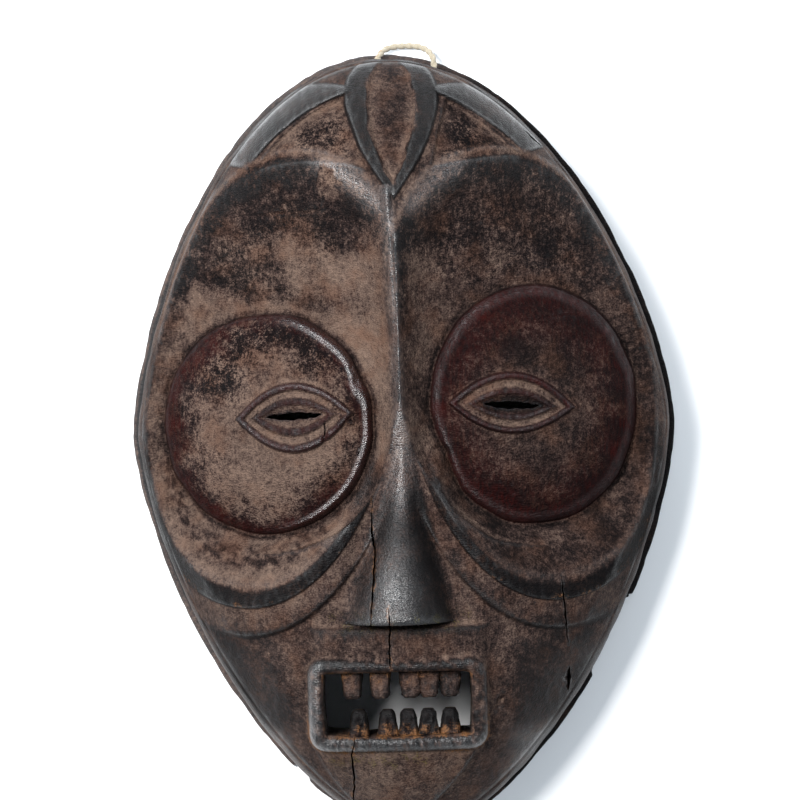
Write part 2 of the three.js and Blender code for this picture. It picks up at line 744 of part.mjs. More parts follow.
function maskSolid() {
  let wood = block();
  for (const socket of [SOCKETS.left, SOCKETS.right]) {
    wood = wood.add(fold(socket, FOLD)).add(fold(socket, ROLL));
  }
  const raised = (x, y) => faceZ(x, y) + LEAF.rise;
  const rooted = (x, y) => faceZ(x, y) - ROOTED;
  wood = wood.add(leafPatch(LEAF, raised, rooted, 12, 3));
  CRESCENTS.forEach((pad) => {
    wood = wood.add(crescent(pad));
  });
  TRIANGLES.forEach((corners) => {
    wood = wood.subtract(triangleField(corners));
  });
  const above = (x, y) => faceZ(x, y) + CLEAR_ABOVE;
  const recess = (x, y) => raised(x, y) - LEAF_HOLLOW.depth;
  wood = wood.subtract(leafPatch(LEAF_HOLLOW, above, recess, 10, 2));
  wood = wood.subtract(socketCut(SOCKETS.left)).subtract(socketCut(SOCKETS.right));
  wood = wood.add(nose()).add(lipPanel()).add(chinPanel()).add(mouthFrame());
  for (const side of ['left', 'right']) {
    wood = wood.add(eyeDisc(DISCS[side])).add(eyeLid(DISCS[side], LIDS[side]));
  }
  wood = wood.subtract(hollow()).subtract(mouthOpening()).subtract(chip());
  wood = wood.subtract(eyeSlit(LIDS.left)).subtract(eyeSlit(LIDS.right));
  UPPER_TEETH.forEach((x) => {
    wood = wood.add(tooth(x, 1, TOOTH.length));
  });
  LOWER_TEETH.forEach((x) => {
    wood = wood.add(tooth(x, -1, TOOTH.length - 1));
  });
  FLANGE_LOSSES.forEach((loss) => {
    wood = wood.subtract(flangeLoss(loss));
  });
  return wood.subtract(stringHole(HOLE.left)).subtract(stringHole(HOLE.right));
}

// Where a hole meets the hollow's wall, on the twine's height
function innerWallY(x) {
  let y = CROWN_Y;
  while (rimScale(x, y) > 1 - RIM_WIDTH / Math.hypot(x, y - WIDEST_Y)) y -= 0.1;
  return y;
}

function knotCentreY(x) {
  return innerWallY(x) - KNOT.radius - KNOT.clearance;
}

function twineLoop() {
  const { z, reach, restZ, diameter, sides, steps } = TWINE;
  const startY = (x) => knotCentreY(x) + KNOT.radius * KNOT.flatness + GAP;
  const middle = (HOLE.left + HOLE.right) / 2;
  const points = [
    [HOLE.left, startY(HOLE.left), z],
    [HOLE.left, CROWN_Y - 9, z],
    [HOLE.left + 0.8, CROWN_Y - 2.5, z - 0.8],
    [middle - 9, reach - 1.4, restZ + 1.9],
    [middle, reach, restZ],
    [middle + 9, reach - 1.4, restZ + 1.9],
    [HOLE.right - 0.8, CROWN_Y - 2.5, z - 0.8],
    [HOLE.right, CROWN_Y - 9, z],
    [HOLE.right, startY(HOLE.right), z],
  ].map((point) => new THREE.Vector3(...point));
  const route = new THREE.CatmullRomCurve3(points, false, 'centripetal');
  const section = new THREE.Shape();
  section.absarc(0, 0, diameter / 2, 0, 2 * Math.PI);
  return new THREE.ExtrudeGeometry(section, {
    steps,
    curveSegments: sides / 2,
    extrudePath: route,
    bevelEnabled: false,
  });
}

function knot(x) {
  const ball = new THREE.IcosahedronGeometry(KNOT.radius, 1);
  ball.scale(1, KNOT.flatness, 1);
  ball.translate(x, knotCentreY(x), TWINE.z);
  return ball;
}

const woodFinish = new THREE.MeshStandardMaterial({ color: 0x3f2d22, roughness: 0.55, metalness: 0 });
const twineFinish = new THREE.MeshStandardMaterial({ color: 0xe4d9bf, roughness: 0.95, metalness: 0 });

function piece(name, geometry, material) {
  const mesh = new THREE.Mesh(geometry, material.clone());
  mesh.name = name;
  return mesh;
}

const maskGroup = new THREE.Group();
maskGroup.add(
  piece('mask', toGeometry(maskSolid()), woodFinish),
  piece('hanging_cord', toGeometry(toSolid(twineLoop())), twineFinish),
  piece('knot_left', toGeometry(toSolid(knot(HOLE.left))), twineFinish),
  piece('knot_right', toGeometry(toSolid(knot(HOLE.right))), twineFinish),
);

export default maskGroup;
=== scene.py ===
import json
import math

import bpy
import numpy as np
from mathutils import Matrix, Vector

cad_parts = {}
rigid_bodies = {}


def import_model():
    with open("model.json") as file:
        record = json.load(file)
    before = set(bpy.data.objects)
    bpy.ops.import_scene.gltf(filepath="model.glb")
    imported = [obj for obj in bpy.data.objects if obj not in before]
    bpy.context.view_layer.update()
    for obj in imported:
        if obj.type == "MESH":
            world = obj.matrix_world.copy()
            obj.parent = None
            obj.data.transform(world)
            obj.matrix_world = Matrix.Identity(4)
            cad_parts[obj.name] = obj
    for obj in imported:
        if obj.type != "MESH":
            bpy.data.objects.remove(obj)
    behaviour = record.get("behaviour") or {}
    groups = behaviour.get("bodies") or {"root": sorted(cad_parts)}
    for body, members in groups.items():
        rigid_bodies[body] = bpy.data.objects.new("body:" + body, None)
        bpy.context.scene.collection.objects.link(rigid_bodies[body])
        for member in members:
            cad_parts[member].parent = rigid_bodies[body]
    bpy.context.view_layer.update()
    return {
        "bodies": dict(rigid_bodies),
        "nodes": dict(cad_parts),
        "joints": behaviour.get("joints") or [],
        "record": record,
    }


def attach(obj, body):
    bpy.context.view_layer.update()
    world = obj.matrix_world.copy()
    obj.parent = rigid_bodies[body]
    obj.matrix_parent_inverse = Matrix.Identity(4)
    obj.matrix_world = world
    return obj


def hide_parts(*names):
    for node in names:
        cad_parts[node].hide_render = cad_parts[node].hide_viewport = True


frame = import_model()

# An old hollow wooden face mask, lying face up on its back rim on a pale floor.
# Shapes are worked out in millimetres and become metres where a mesh is made.
MM = 0.001

# Outline of the back rim
HALF_WIDTH = 135.3
CROWN_Y = 196.5
CHIN_Y = -196.5
WIDEST_Y = 10.0
CROWN_OUTLINE = {"run": 1.52, "power": 0.5}
CHIN_OUTLINE = {"run": 1.56, "power": 0.64}
CROWN_LEAN = {"by": -5.6, "run": 1.8}

# Flank, from the floor up to the edge of the face. The shoulder is in shares of inset and of height.
FLANGE_HEIGHT = 5.0
FLANGE_PROUD = 4.0
FLANGE_BEVEL = 0.7
WALL_TOP = 31.0
WALL_BATTER = 1.2
GROOVE_DEPTH = 1.2
EDGE_INSET = 8.5
EDGE_INSET_CHIN = 12.0
EDGE_Z = {"side": 55.0, "crown": 50.0, "chin": 59.0}
SHOULDER = [(1, 1), (0.7, 0.9), (0.4, 0.66), (0.18, 0.36), (0.06, 0.14)]

# Heights of the uncut face
FOREHEAD_APEX = 121.0
CHEEK_APEX = 104.0
MUZZLE = {"x": -5.0, "y": -110.0, "span_x": 58.0, "span_y": 42.0, "rise": 12.0}
EDGE_FALL = 7.0

# Eye sockets: a leaning, slightly squared ellipse each, and the dish inside it
SOCKETS = [
    {"side": -1, "x": -62.8, "y": 33.7, "a": 61.0, "b": 107.0, "turn": -12.3, "power": 2.16},
    {"side": 1, "x": 59.5, "y": 33.4, "a": 61.0, "b": 106.0, "turn": 12.0, "power": 2.25},
]
SOCKET_FLOOR_Z = 71.0
SOCKET_FLOOR_SLOPE = 0.3
SOCKET_LIP = 1.5
SOCKET_EDGE_GAP = 2.5
SOCKET_EDGE_SOFTNESS = {"below": 1.6, "brow": 4.2, "junction": 8.0}
DISH_POWER = {"outer": 1.9, "nose": 4.0}
DISH_RINGS = {"spacing": 4.6, "height": 0.22, "off": 10.0, "width": 9.0}

# Eye discs, with almond lids and a slit
DISCS = [
    {"side": -1, "x": -65.0, "y": 13.9, "a": 49.9, "b": 52.0, "z": 79.0},
    {"side": 1, "x": 62.5, "y": 20.0, "a": 49.4, "b": 56.5, "z": 79.0},
]
DISC_SLOPE = 0.3
DISC_DOME = 12.0
LIDS = [
    {"x": -51.9, "y": 17.6, "half": 28.0, "rise": 15.7, "drop": 17.3, "turn": 1.7},
    {"x": 51.1, "y": 20.0, "half": 30.1, "rise": 15.6, "drop": 13.3, "turn": -3.4},
]
DISC_LIP = 4.2
DISC_ROUNDING = 2.2
DISC_STEP = 2.0
DISC_BEAD = {"left": 1.4, "right": 0.5}
DISC_WALL_SLOPE = 5.0
DISC_WEAR = {"x": 17.5, "y": -6.0, "reach": 3.2, "size": 9.5}
DISC_NOTCH = {"x": -23.5, "y": 30.5, "reach": 2.6, "half": (3.0, 6.0)}
DISC_NICK = {"x": -25.0, "y": 39.0, "reach": 1.0, "half": (1.6, 1.8)}
LID_RISE = 3.2
LID_BASE = 0.42
OUTER_ROLL = {"ring": 0.89, "half": 0.13, "rise": 0.62}
INNER_ROLL = {"ring": 0.44, "half": 0.13, "rise": 0.42}
LID_BREAK_X = -37.5
SLIT_HALF = 13.2
SLIT_WIDTH = 3.6

# Folds below the sockets: angles in degrees about the left socket, and rings of its outline
ROLL = {"from": -17.0, "to": -172.0, "rise": 9.0, "fall": 2.6, "crest": 0.915, "outer": 1.015}
FOLD = {"from": -22.0, "to": -130.0, "rise": 4.4, "fall": 1.3, "crest": 1.08, "outer": 1.14}
CHANNEL = {"ring": 0.79, "width": 0.04, "depth": 1.3}

# Nose ridge and nose
RIDGE_TOP_Y = 121.0
NOSE_BASE_Y = -81.0
NOSE_TIP_Z = 128.0
RIDGE_Z = 103.0
NOSE_HALF_BASE = 26.0
NOSE_PROFILE = {"length": 78.0, "bow": 1.35, "level": 0.35}
NOSE_HALF_TOP = 4.0
NOSE_DEPTH = {"top": 12.0, "base": 27.0, "power": 2.5}
NOSE_TIP = {"run": 3.0, "drop": 2.4}
NOSE_UNDERCUT = 60.0
RIDGE_ROUNDING = 1.8
RIDGE_X = {"top": -5.0, "middle": -1.3, "base": -4.6}
RIDGE_TOP = {"rise": 6.0, "from": 24.0, "run": 96.0}
RIDGE_SIDE = {"drop": 15.0, "run": 5.5, "slope": 0.35}
BRIDGE = {"y": -6.0, "width": 20.0, "rise": 2.0}
NOSE_VALLEY = {"depth": 3.4, "width": 5.0, "off": 4.0}

# Lip panel, mouth and teeth
LIP_PANEL = {"x": -5.4, "top": -82.4, "bottom": -103.0, "half": 41.0, "rise": 3.6}
MOUTH = {"x": -6.6, "y": -119.0, "half_x": 35.0, "half_y": 15.5, "corner": 3.0, "power": 2.6}
LIP = {"width": 7.0, "rise": 6.0, "flatness": 0.45}
TOOTH = {"root": 11.0, "upper_tip": 8.4, "lower_tip": 6.72, "length": 13.0, "thickness": 10.0, "depth": 3.0}
UPPER_TEETH = [-27.8, -14.6, -0.5, 8.2, 18.3]
LOWER_TEETH = [-25.3, -11.6, -1.8, 7.7, 18.0]
CHIN_PANEL = {"top": -141.0, "length": 40.0, "half": 40.0, "x": -7.5, "lean": -4.0, "rise": 3.2}

# Forehead carving
LEAF = {"x": -2.0, "bottom": 118.0, "top": 191.5, "half": 22.5, "belly": (1.0, 0.45), "rise": 3.0}
LEAF_HOLLOW = {"x": -2.2, "bottom": 125.0, "top": 189.5, "half": 11.9, "belly": (0.9, 0.55), "depth": 2.6}
CRESCENTS = [
    {"start": (-23.0, 172.5), "bend": (-61.5, 173.2), "end": (-76.0, 137.5)},
    {"start": (20.0, 172.0), "bend": (54.2, 169.6), "end": (66.0, 142.0)},
]
CRESCENT_HALF = {"start": 2.4, "growth": 2.8, "belly": 5.2}
CRESCENT_RISE = 3.4
BROW_BORDER = {"rise": 1.3, "ring": 1.045, "width": 0.022}
TRIANGLES = [
    {"corners": [(-25.3, 169.1), (-68.3, 134.7), (-14.1, 132.6)], "bows": (5.0, -4.0, 0.5)},
    {"corners": [(24.5, 168.2), (60.1, 139.0), (15.6, 132.7)], "bows": (1.5, -1.0, 0.5)},
]
TRIANGLE_DEPTH = 2.4

# Damage
BROW_CHIP = {"x": -33.3, "y": 127.0, "z": 95.6, "half": (5.0, 8.6), "pit": 3.0}
FLANGE_LOSSES = [
    {"from": -25.1, "to": -37.6, "reach": 2.4},
    {"from": -122.4, "to": -125.4, "reach": 3.4},
]

# Depth of the marks that the tools and the years left all over
MARKS = {"swell": 0.28, "tool": 0.16, "fine": 0.09}
FLANK_MARKS = {"swell": 0.35, "tool": 0.16}
ADZE_MARKS = 0.8

# Hollow back. Its wall is in insets beyond the rim's width, and heights.
WALL = 12.5
RIM_WIDTH = 12.5
HOLLOW_SHOULDER_Z = 30.0
HOLLOW_WALL = [(0.0, -2.0), (0.0, 0.0), (0.3, 6.0), (0.6, 12.0), (2.0, 21.0), (3.5, HOLLOW_SHOULDER_Z)]
HOLLOW_ROOF_INSET = 4.0
HOLLOW_TOP_Z = 90.0

# Twine loop through two holes in the crown's flank
TWINE = {"diameter": 3.2, "reach": 200.2, "z": 11.5, "rest_z": 4.6}
HOLE = {"diameter": 5.4, "half_length": 25.0, "left": -8.5, "right": 20.0}
KNOT = {"radius": 3.9, "flatness": 0.9, "clearance": 1.6, "strand": 0.86}
TWIST_PITCH = 8.0
GAP = 0.3

# Heights that a cutter reaches through, and how far a crack's cutter stands out of the wood
CUT_FROM_Z = 35.0
CUT_TO_Z = 170.0
CRACK_LIFT = 4.0

# Edges that turn by more than this many degrees stay sharp
SHARP_DEGREES = 42.0

# Half a side of the floor
FLOOR_HALF = 6000.0

# The camera looks straight down. Half a millimetre on the floor is one pixel of 800.
CAMERA_HEIGHT = 1700.0
FRAME_WIDTH = 400.0
FRAME_CENTRE = (-1.586, 23.8)
ROLL_ANGLE = 1.6
SENSOR = 36.0

FACE_GRID = 480
FLANK_ROWS = 62
MASK_TRIANGLES = 150000


def mix(a, b, t):
    return a + (b - a) * t


def clamp(value, low=0.0, high=1.0):
    return np.clip(value, low, high)


def smoothstep(start, end, value):
    t = clamp((value - start) / (end - start))
    return t * t * (3 - 2 * t)


# 1 between b and c, fading to 0 at a and at d
def within(value, a, b, c, d):
    return smoothstep(a, b, value) * smoothstep(d, c, value)


def near(value, centre, width):
    return np.exp(-(((value - centre) / width) ** 2))


# Drop of a rounded edge, from 0 on the flat to nearly 1 at its rim
def round_off(share):
    return 1 - np.sqrt(1 - 0.96 * share ** 2)


def hump(value, centre, half):
    return np.sqrt(clamp(1 - ((value - centre) / half) ** 2))


# The higher of two surfaces, with the valley between them filled over about r millimetres
def soft_max(a, b, r):
    share = clamp(0.5 + 0.5 * (a - b) / r)
    return mix(b, a, share) + r * share * (1 - share)


def soft_min(a, b, r):
    return -soft_max(-a, -b, r)


# Smooth seeded noise about 0: waves of about one length, each in its own direction
def make_noise(seed, length, stretch=(1.0, 1.0, 1.0), waves=10):
    draw = np.random.default_rng(seed)
    heading = draw.normal(size=(waves, 3))
    heading /= np.linalg.norm(heading, axis=1)[:, None]
    rate = 2 * math.pi / (length * draw.uniform(0.6, 1.7, waves))
    phase = draw.uniform(0, 2 * math.pi, waves)

    def noise(x, y, z=0.0):
        total = 0.0
        for (hx, hy, hz), speed, start in zip(heading, rate, phase):
            along = hx * x / stretch[0] + hy * y / stretch[1] + hz * z / stretch[2]
            total = total + np.sin(speed * along + start)
        return total / math.sqrt(waves)

    return noise


swell = make_noise(1, 30.0)
tool_marks = make_noise(2, 11.0, stretch=(1.0, 1.6, 1.0))
fine_marks = make_noise(3, 3.6, stretch=(1.0, 2.2, 1.0))
edge_wander = make_noise(4, 16.0)
patches = make_noise(5, 26.0, stretch=(1.3, 1.0, 1.0))
mottle = make_noise(6, 7.0)
adze = make_noise(7, 24.0, stretch=(1.0, 1.7, 1.0), waves=7)


# Outline of the rim
def run_at(y):
    up = (y - WIDEST_Y) / (CROWN_Y - WIDEST_Y)
    down = (WIDEST_Y - y) / (WIDEST_Y - CHIN_Y)
    return clamp(np.where(y >= WIDEST_Y, up, down))


def rim_half_width(y):
    run = run_at(y)
    crown = (1 - run ** CROWN_OUTLINE["run"]) ** CROWN_OUTLINE["power"]
    chin = (1 - run ** CHIN_OUTLINE["run"]) ** CHIN_OUTLINE["power"]
    return HALF_WIDTH * np.where(y >= WIDEST_Y, crown, chin)


def rim_lean(y):
    return np.where(y > WIDEST_Y, CROWN_LEAN["by"] * run_at(y) ** CROWN_LEAN["run"], 0.0)


# The rim's point at a turn about the centre line, moved in by some millimetres
def rim_point(turn, inset=0.0):
    reach = np.where(np.sin(turn) >= 0, CROWN_Y - WIDEST_Y, WIDEST_Y - CHIN_Y)
    y = WIDEST_Y + reach * np.sin(turn)
    x = rim_lean(y) + np.where(np.cos(turn) >= 0, 1, -1) * rim_half_width(y)
    keep = 1 - inset / np.hypot(x, y - WIDEST_Y)
    return x * keep, WIDEST_Y + (y - WIDEST_Y) * keep


def endwards_at(x, y):
    return ((y - WIDEST_Y) / (np.hypot(x, y - WIDEST_Y) + 1e-9)) ** 2


def edge_inset(x, y):
    return np.where(y > WIDEST_Y, EDGE_INSET, mix(EDGE_INSET, EDGE_INSET_CHIN, endwards_at(x, y)))


def edge_z(x, y):
    end = np.where(y > WIDEST_Y, EDGE_Z["crown"], EDGE_Z["chin"])
    return mix(EDGE_Z["side"], end, endwards_at(x, y))


# Points of the plan, with what the heights are worked out from
class Plan:
    def __init__(self, x, y):
        self.x = np.asarray(x, dtype=float)
        self.y = np.asarray(y, dtype=float)
        self.reach = np.hypot(self.x, self.y - WIDEST_Y) + 1e-6
        self.scale = self.rim_scale()
        self.room = self.reach / self.scale * (1 - self.scale) - edge_inset(self.x, self.y)
        self.fade = smoothstep(0, 13, self.room)
        self.face = self.uncut_face()

    # The scale at which the rim outline, shrunk about the middle, passes through each point
    def rim_scale(self):
        low = np.full(self.x.shape, 0.001)
        high = np.full(self.x.shape, 1.6)
        for _ in range(24):
            scale = (low + high) / 2
            outline_y = WIDEST_Y + (self.y - WIDEST_Y) / scale
            beyond = (outline_y > CROWN_Y) | (outline_y < CHIN_Y)
            outside = beyond | (np.abs(self.x / scale - rim_lean(outline_y)) > rim_half_width(outline_y))
            low = np.where(outside, scale, low)
            high = np.where(outside, high, scale)
        return high

    # A dome that rises from the face's edge, with a swell behind the mouth
    def uncut_face(self):
        x, y = self.x, self.y
        edge = 1 - edge_inset(x, y) * self.scale / self.reach
        inside = clamp(1 - (self.scale / edge) ** 2)
        beyond = self.reach * np.maximum(1 - edge / self.scale, 0)
        apex = mix(CHEEK_APEX, FOREHEAD_APEX, smoothstep(-20, 90, y))
        base = edge_z(x, y)
        away = ((x - MUZZLE["x"]) / MUZZLE["span_x"]) ** 2 + ((y - MUZZLE["y"]) / MUZZLE["span_y"]) ** 2
        muzzle = MUZZLE["rise"] * np.exp(-away / 2) * smoothstep(0, 0.25, inside)
        rise = inside ** mix(0.8, 0.54, endwards_at(x, y))
        return base + (apex - base) * rise + muzzle - EDGE_FALL * beyond


def socket_radius(socket, angle):
    p = socket["power"]
    across = np.abs(np.cos(angle)) / socket["a"]
    along = np.abs(np.sin(angle)) / socket["b"]
    return 1 / (across ** p + along ** p) ** (1 / p)


def socket_polar(socket, x, y):
    dx = x - socket["x"]
    dy = y - socket["y"]
    angle = np.arctan2(dy, dx) - math.radians(socket["turn"])
    return np.hypot(dx, dy), (angle + math.pi) % (2 * math.pi) - math.pi


# How strongly a fold shows at an angle about its socket, 0 at its two ends and 1 between them
def fold_weight(fold, socket, angle):
    left = angle if socket["side"] < 0 else math.pi - angle
    turned = (math.radians(fold["from"]) - left) % (2 * math.pi)
    run = clamp(turned / math.radians(fold["from"] - fold["to"]))
    return np.sin(math.pi * run) ** 0.6 * smoothstep(-0.02, 0.16, run)


# The crest where a socket's dish ends, over all angles: its radius and its height
def socket_crest(socket):
    angle = np.linspace(-math.pi, math.pi, 721)
    weight = fold_weight(ROLL, socket, angle)
    heading = angle + math.radians(socket["turn"])
    radius = socket_radius(socket, angle) * mix(1, ROLL["crest"], weight)
    for _ in range(40):
        plan = Plan(socket["x"] + radius * np.cos(heading), socket["y"] + radius * np.sin(heading))
        room = plan.room - SOCKET_EDGE_GAP
        radius = radius + np.where(room < 0, np.minimum(room, -0.2), 0)
    z = plan.face + ROLL["rise"] * weight * plan.fade - SOCKET_LIP
    return angle, radius, z


for eye_socket in SOCKETS:
    eye_socket["crest"] = socket_crest(eye_socket)


# Height of a socket's dish, and how far out a point lies in it, 1 on its crest
def socket_dish(socket, x, y):
    angles, radii, heights = socket["crest"]
    distance, angle = socket_polar(socket, x, y)
    inward = -socket["side"] * (x - socket["x"])
    floor = SOCKET_FLOOR_Z + SOCKET_FLOOR_SLOPE * inward
    ring = distance / np.interp(angle, angles, radii)
    power = mix(DISH_POWER["outer"], DISH_POWER["nose"], smoothstep(20, 52, inward))
    crest_z = np.interp(angle, angles, heights)
    rise = clamp((ring - 0.3) / 0.7, 0, 1.3) ** power
    channel = CHANNEL["depth"] * near(ring, CHANNEL["ring"], CHANNEL["width"])
    dip = channel * fold_weight(ROLL, socket, angle)
    return floor + (crest_z - floor) * rise - dip, ring


def fold_lift(fold, socket, plan):
    distance, angle = socket_polar(socket, plan.x, plan.y)
    ring = distance / socket_radius(socket, angle)
    past_crest = clamp((ring - fold["crest"]) / (fold["outer"] - fold["crest"]))
    edge = 1 - smoothstep(fold["outer"] - 0.012, fold["outer"] + 0.016, ring)
    top = fold["rise"] - fold["fall"] * past_crest ** 1.6
    return top * edge * fold_weight(fold, socket, angle) * plan.fade


# Nose ridge, sharp and hollow-sided above, widening to a rounded nose below
def ridge_x(y):
    above = mix(RIDGE_X["middle"], RIDGE_X["top"], clamp(y / RIDGE_TOP_Y))
    below = mix(RIDGE_X["middle"], RIDGE_X["base"], clamp(y / NOSE_BASE_Y))
    return np.where(y > 0, above, below)


def ridge_z(y):
    run = clamp(-y / NOSE_PROFILE["length"])
    level = NOSE_PROFILE["level"]
    nose = (NOSE_TIP_Z - RIDGE_Z) * ((1 + level) * run ** NOSE_PROFILE["bow"] - level * run ** 4)
    top = RIDGE_TOP["rise"] * clamp((y - RIDGE_TOP["from"]) / RIDGE_TOP["run"]) ** 2
    return RIDGE_Z + top + nose + BRIDGE["rise"] * near(y, BRIDGE["y"], BRIDGE["width"])


def nose_half(y):
    return mix(NOSE_HALF_TOP, NOSE_HALF_BASE, clamp(y / NOSE_BASE_Y) ** 1.1)


def nose_z(x, y):
    away = np.abs(x - ridge_x(y))
    blunt = np.sqrt(away ** 2 + RIDGE_ROUNDING ** 2) - RIDGE_ROUNDING
    hollow = RIDGE_SIDE["drop"] * (1 - np.exp(-blunt / RIDGE_SIDE["run"]))
    sharp = ridge_z(y) - hollow - RIDGE_SIDE["slope"] * blunt
    depth = mix(NOSE_DEPTH["top"], NOSE_DEPTH["base"], clamp(y / NOSE_BASE_Y))
    full = ridge_z(y) - depth * (away / nose_half(y)) ** NOSE_DEPTH["power"]
    top = mix(sharp, full, smoothstep(14, -22, y))
    tip = clamp((NOSE_BASE_Y + NOSE_TIP["run"] - y) / NOSE_TIP["run"])
    under = NOSE_UNDERCUT * smoothstep(NOSE_BASE_Y + 0.3, NOSE_BASE_Y - 0.5, y)
    foot = np.maximum(nose_half(y), mix(13, 4, smoothstep(10, -30, y)))
    beyond = 3 * np.maximum(away - foot, 0) + 0.4 * np.maximum(y - RIDGE_TOP_Y, 0) ** 1.5
    return top - NOSE_TIP["drop"] * round_off(tip) - under - beyond


# Inside depth from the edge of a leaf, in millimetres, below 0 outside it
def leaf_depth(leaf, x, y):
    run = clamp((y - leaf["bottom"]) / (leaf["top"] - leaf["bottom"]), 0.004, 0.996)
    low, high = leaf["belly"]
    widest = low / (low + high)
    half = leaf["half"] * (run / widest) ** low * ((1 - run) / (1 - widest)) ** high
    ends = np.minimum(y - leaf["bottom"], leaf["top"] - y)
    return np.minimum((half - np.abs(x - leaf["x"])) * 0.9, ends)


# Inside depth from the edge of a three-sided field, whose sides bow outwards by some millimetres
def triangle_depth(field, x, y):
    corners = field["corners"]
    depth = np.full(np.shape(x), 1e3)
    turn = np.cross(np.subtract(corners[1], corners[0]), np.subtract(corners[2], corners[0]))
    for start, end, bow in zip(corners, corners[1:] + corners[:1], field["bows"]):
        dx, dy = end[0] - start[0], end[1] - start[1]
        length = math.hypot(dx, dy)
        along = clamp(((x - start[0]) * dx + (y - start[1]) * dy) / length ** 2)
        off = (dx * (y - start[1]) - dy * (x - start[0])) / length * math.copysign(1, turn)
        depth = np.minimum(depth, off + bow * 4 * along * (1 - along))
    return depth


# Distance inside a crescent's edge, and how far off its spine a point lies, 1 at the edge
def crescent_depth(crescent, x, y):
    start, bend, end = (np.array(crescent[name]) for name in ("start", "bend", "end"))
    best = np.full(np.shape(x), 1e9)
    share = np.zeros(np.shape(x))
    for place in np.linspace(0, 1, 80):
        spine = mix(mix(start, bend, place), mix(bend, end, place), place)
        distance = np.hypot(x - spine[0], y - spine[1])
        closer = distance < best
        best = np.where(closer, distance, best)
        share = np.where(closer, place, share)
    belly = CRESCENT_HALF["belly"] * np.sin(math.pi * share)
    half = CRESCENT_HALF["start"] + CRESCENT_HALF["growth"] * share + belly
    out = (end - bend) / np.linalg.norm(end - bend)
    past_end = (x - end[0]) * out[0] + (y - end[1]) * out[1]
    return np.minimum(half - best, -past_end), best / half


# Which of an almond's nested outlines a point lies on, 0 on its axis and 1 on its edge
def almond_ring(lid, x, y):
    turn = math.radians(lid["turn"])
    along = (x - lid["x"]) * math.cos(turn) + (y - lid["y"]) * math.sin(turn)
    away = (y - lid["y"]) * math.cos(turn) - (x - lid["x"]) * math.sin(turn)
    p = np.abs(along) / lid["half"]
    q = np.abs(away) / np.where(away >= 0, lid["rise"], lid["drop"])
    low = np.zeros(np.shape(x))
    high = np.full(np.shape(x), 3.0)
    for _ in range(22):
        middle = (low + high) / 2
        short = middle * (1 - np.minimum(p / mix(0.35, 1, middle), 1.5) ** 2) < q
        low = np.where(short, middle, low)
        high = np.where(short, high, middle)
    return high


# Distance outside a rounded rectangle about the mouth, below 0 in the opening
def mouth_distance(x, y):
    dx = np.abs(x - MOUTH["x"]) - (MOUTH["half_x"] - MOUTH["corner"])
    dy = np.abs(y - MOUTH["y"]) - (MOUTH["half_y"] - MOUTH["corner"])
    power = MOUTH["power"]
    outside = (np.maximum(dx, 0) ** power + np.maximum(dy, 0) ** power) ** (1 / power)
    return outside + np.minimum(np.maximum(dx, dy), 0) - MOUTH["corner"]


MOUTH_FACE = float(Plan([MOUTH["x"]], [MOUTH["y"]]).face[0])


def mouth_level(plan):
    return mix(plan.face, MOUTH_FACE, LIP["flatness"])


def disc_ring(disc, x, y):
    return np.hypot((x - disc["x"]) / disc["a"], (y - disc["y"]) / disc["b"])


# A disc's domed top, higher towards the nose
def disc_z(disc, x, y):
    plane = disc["z"] - DISC_SLOPE * disc["side"] * (x - disc["x"])
    return plane + DISC_DOME * clamp(1 - disc_ring(disc, x, y) ** 2.8)


# Height of the carved face over its plan
def carved_face(plan):
    x, y = plan.x, plan.y
    z = plan.face.copy()
    lift = np.zeros(x.shape)
    for socket in SOCKETS:
        for fold in (FOLD, ROLL):
            lift = np.maximum(lift, fold_lift(fold, socket, plan))
    z = z + lift
    z = forehead_carving(plan, z)
    for socket in SOCKETS:
        dish, ring = socket_dish(socket, x, y)
        brow = smoothstep(8, 22, np.abs(x)) * smoothstep(60, 100, y)
        z = z + BROW_BORDER["rise"] * near(ring, BROW_BORDER["ring"], BROW_BORDER["width"]) * brow
        junction = smoothstep(44, 26, np.abs(x + 4)) * smoothstep(98, 112, y)
        softness = mix(SOCKET_EDGE_SOFTNESS["below"], SOCKET_EDGE_SOFTNESS["brow"], brow)
        z = soft_min(z, dish, mix(softness, SOCKET_EDGE_SOFTNESS["junction"], junction))
    beside = np.abs(np.abs(x - ridge_x(y)) - nose_half(y) - NOSE_VALLEY["off"])
    valley = near(beside, 0, NOSE_VALLEY["width"]) * within(y, -78, -45, -6, 12)
    z = z - NOSE_VALLEY["depth"] * valley
    z = soft_max(z, nose_z(x, y), mix(2.2, 6.0, smoothstep(8, -25, y)))
    z = lower_face(plan, z)
    for disc, lid in zip(DISCS, LIDS):
        z = eye(disc, lid, x, y, z)
    return surface_marks(plan, z)


# The leaf with its hollow, the two sunk fields and the two crescents
def forehead_carving(plan, z):
    x, y = plan.x, plan.y
    z = np.maximum(z, plan.face + LEAF["rise"] * smoothstep(-0.8, 1.2, leaf_depth(LEAF, x, y)))
    for field in TRIANGLES:
        inside = smoothstep(-0.2, 1.7, triangle_depth(field, x, y))
        z = mix(z, plan.face - TRIANGLE_DEPTH, inside)
    for crescent in CRESCENTS:
        inside, off = crescent_depth(crescent, x, y)
        pad = CRESCENT_RISE * (1 - 0.4 * clamp(off) ** 2) * plan.fade ** 0.3
        pad = np.where(inside > -0.6, plan.face + pad * smoothstep(-0.6, 0.9, inside), 0)
        z = np.maximum(z, pad)
    hollow = smoothstep(-0.5, 2.2, leaf_depth(LEAF_HOLLOW, x, y))
    return mix(z, plan.face + LEAF["rise"] - LEAF_HOLLOW["depth"], hollow)


# A raised pad on the face where its depth inside its own edge is above 0
def raise_pad(z, face, rise, inside):
    return np.where(inside > -0.8, np.maximum(z, face + rise * smoothstep(-0.8, 1.2, inside)), z)


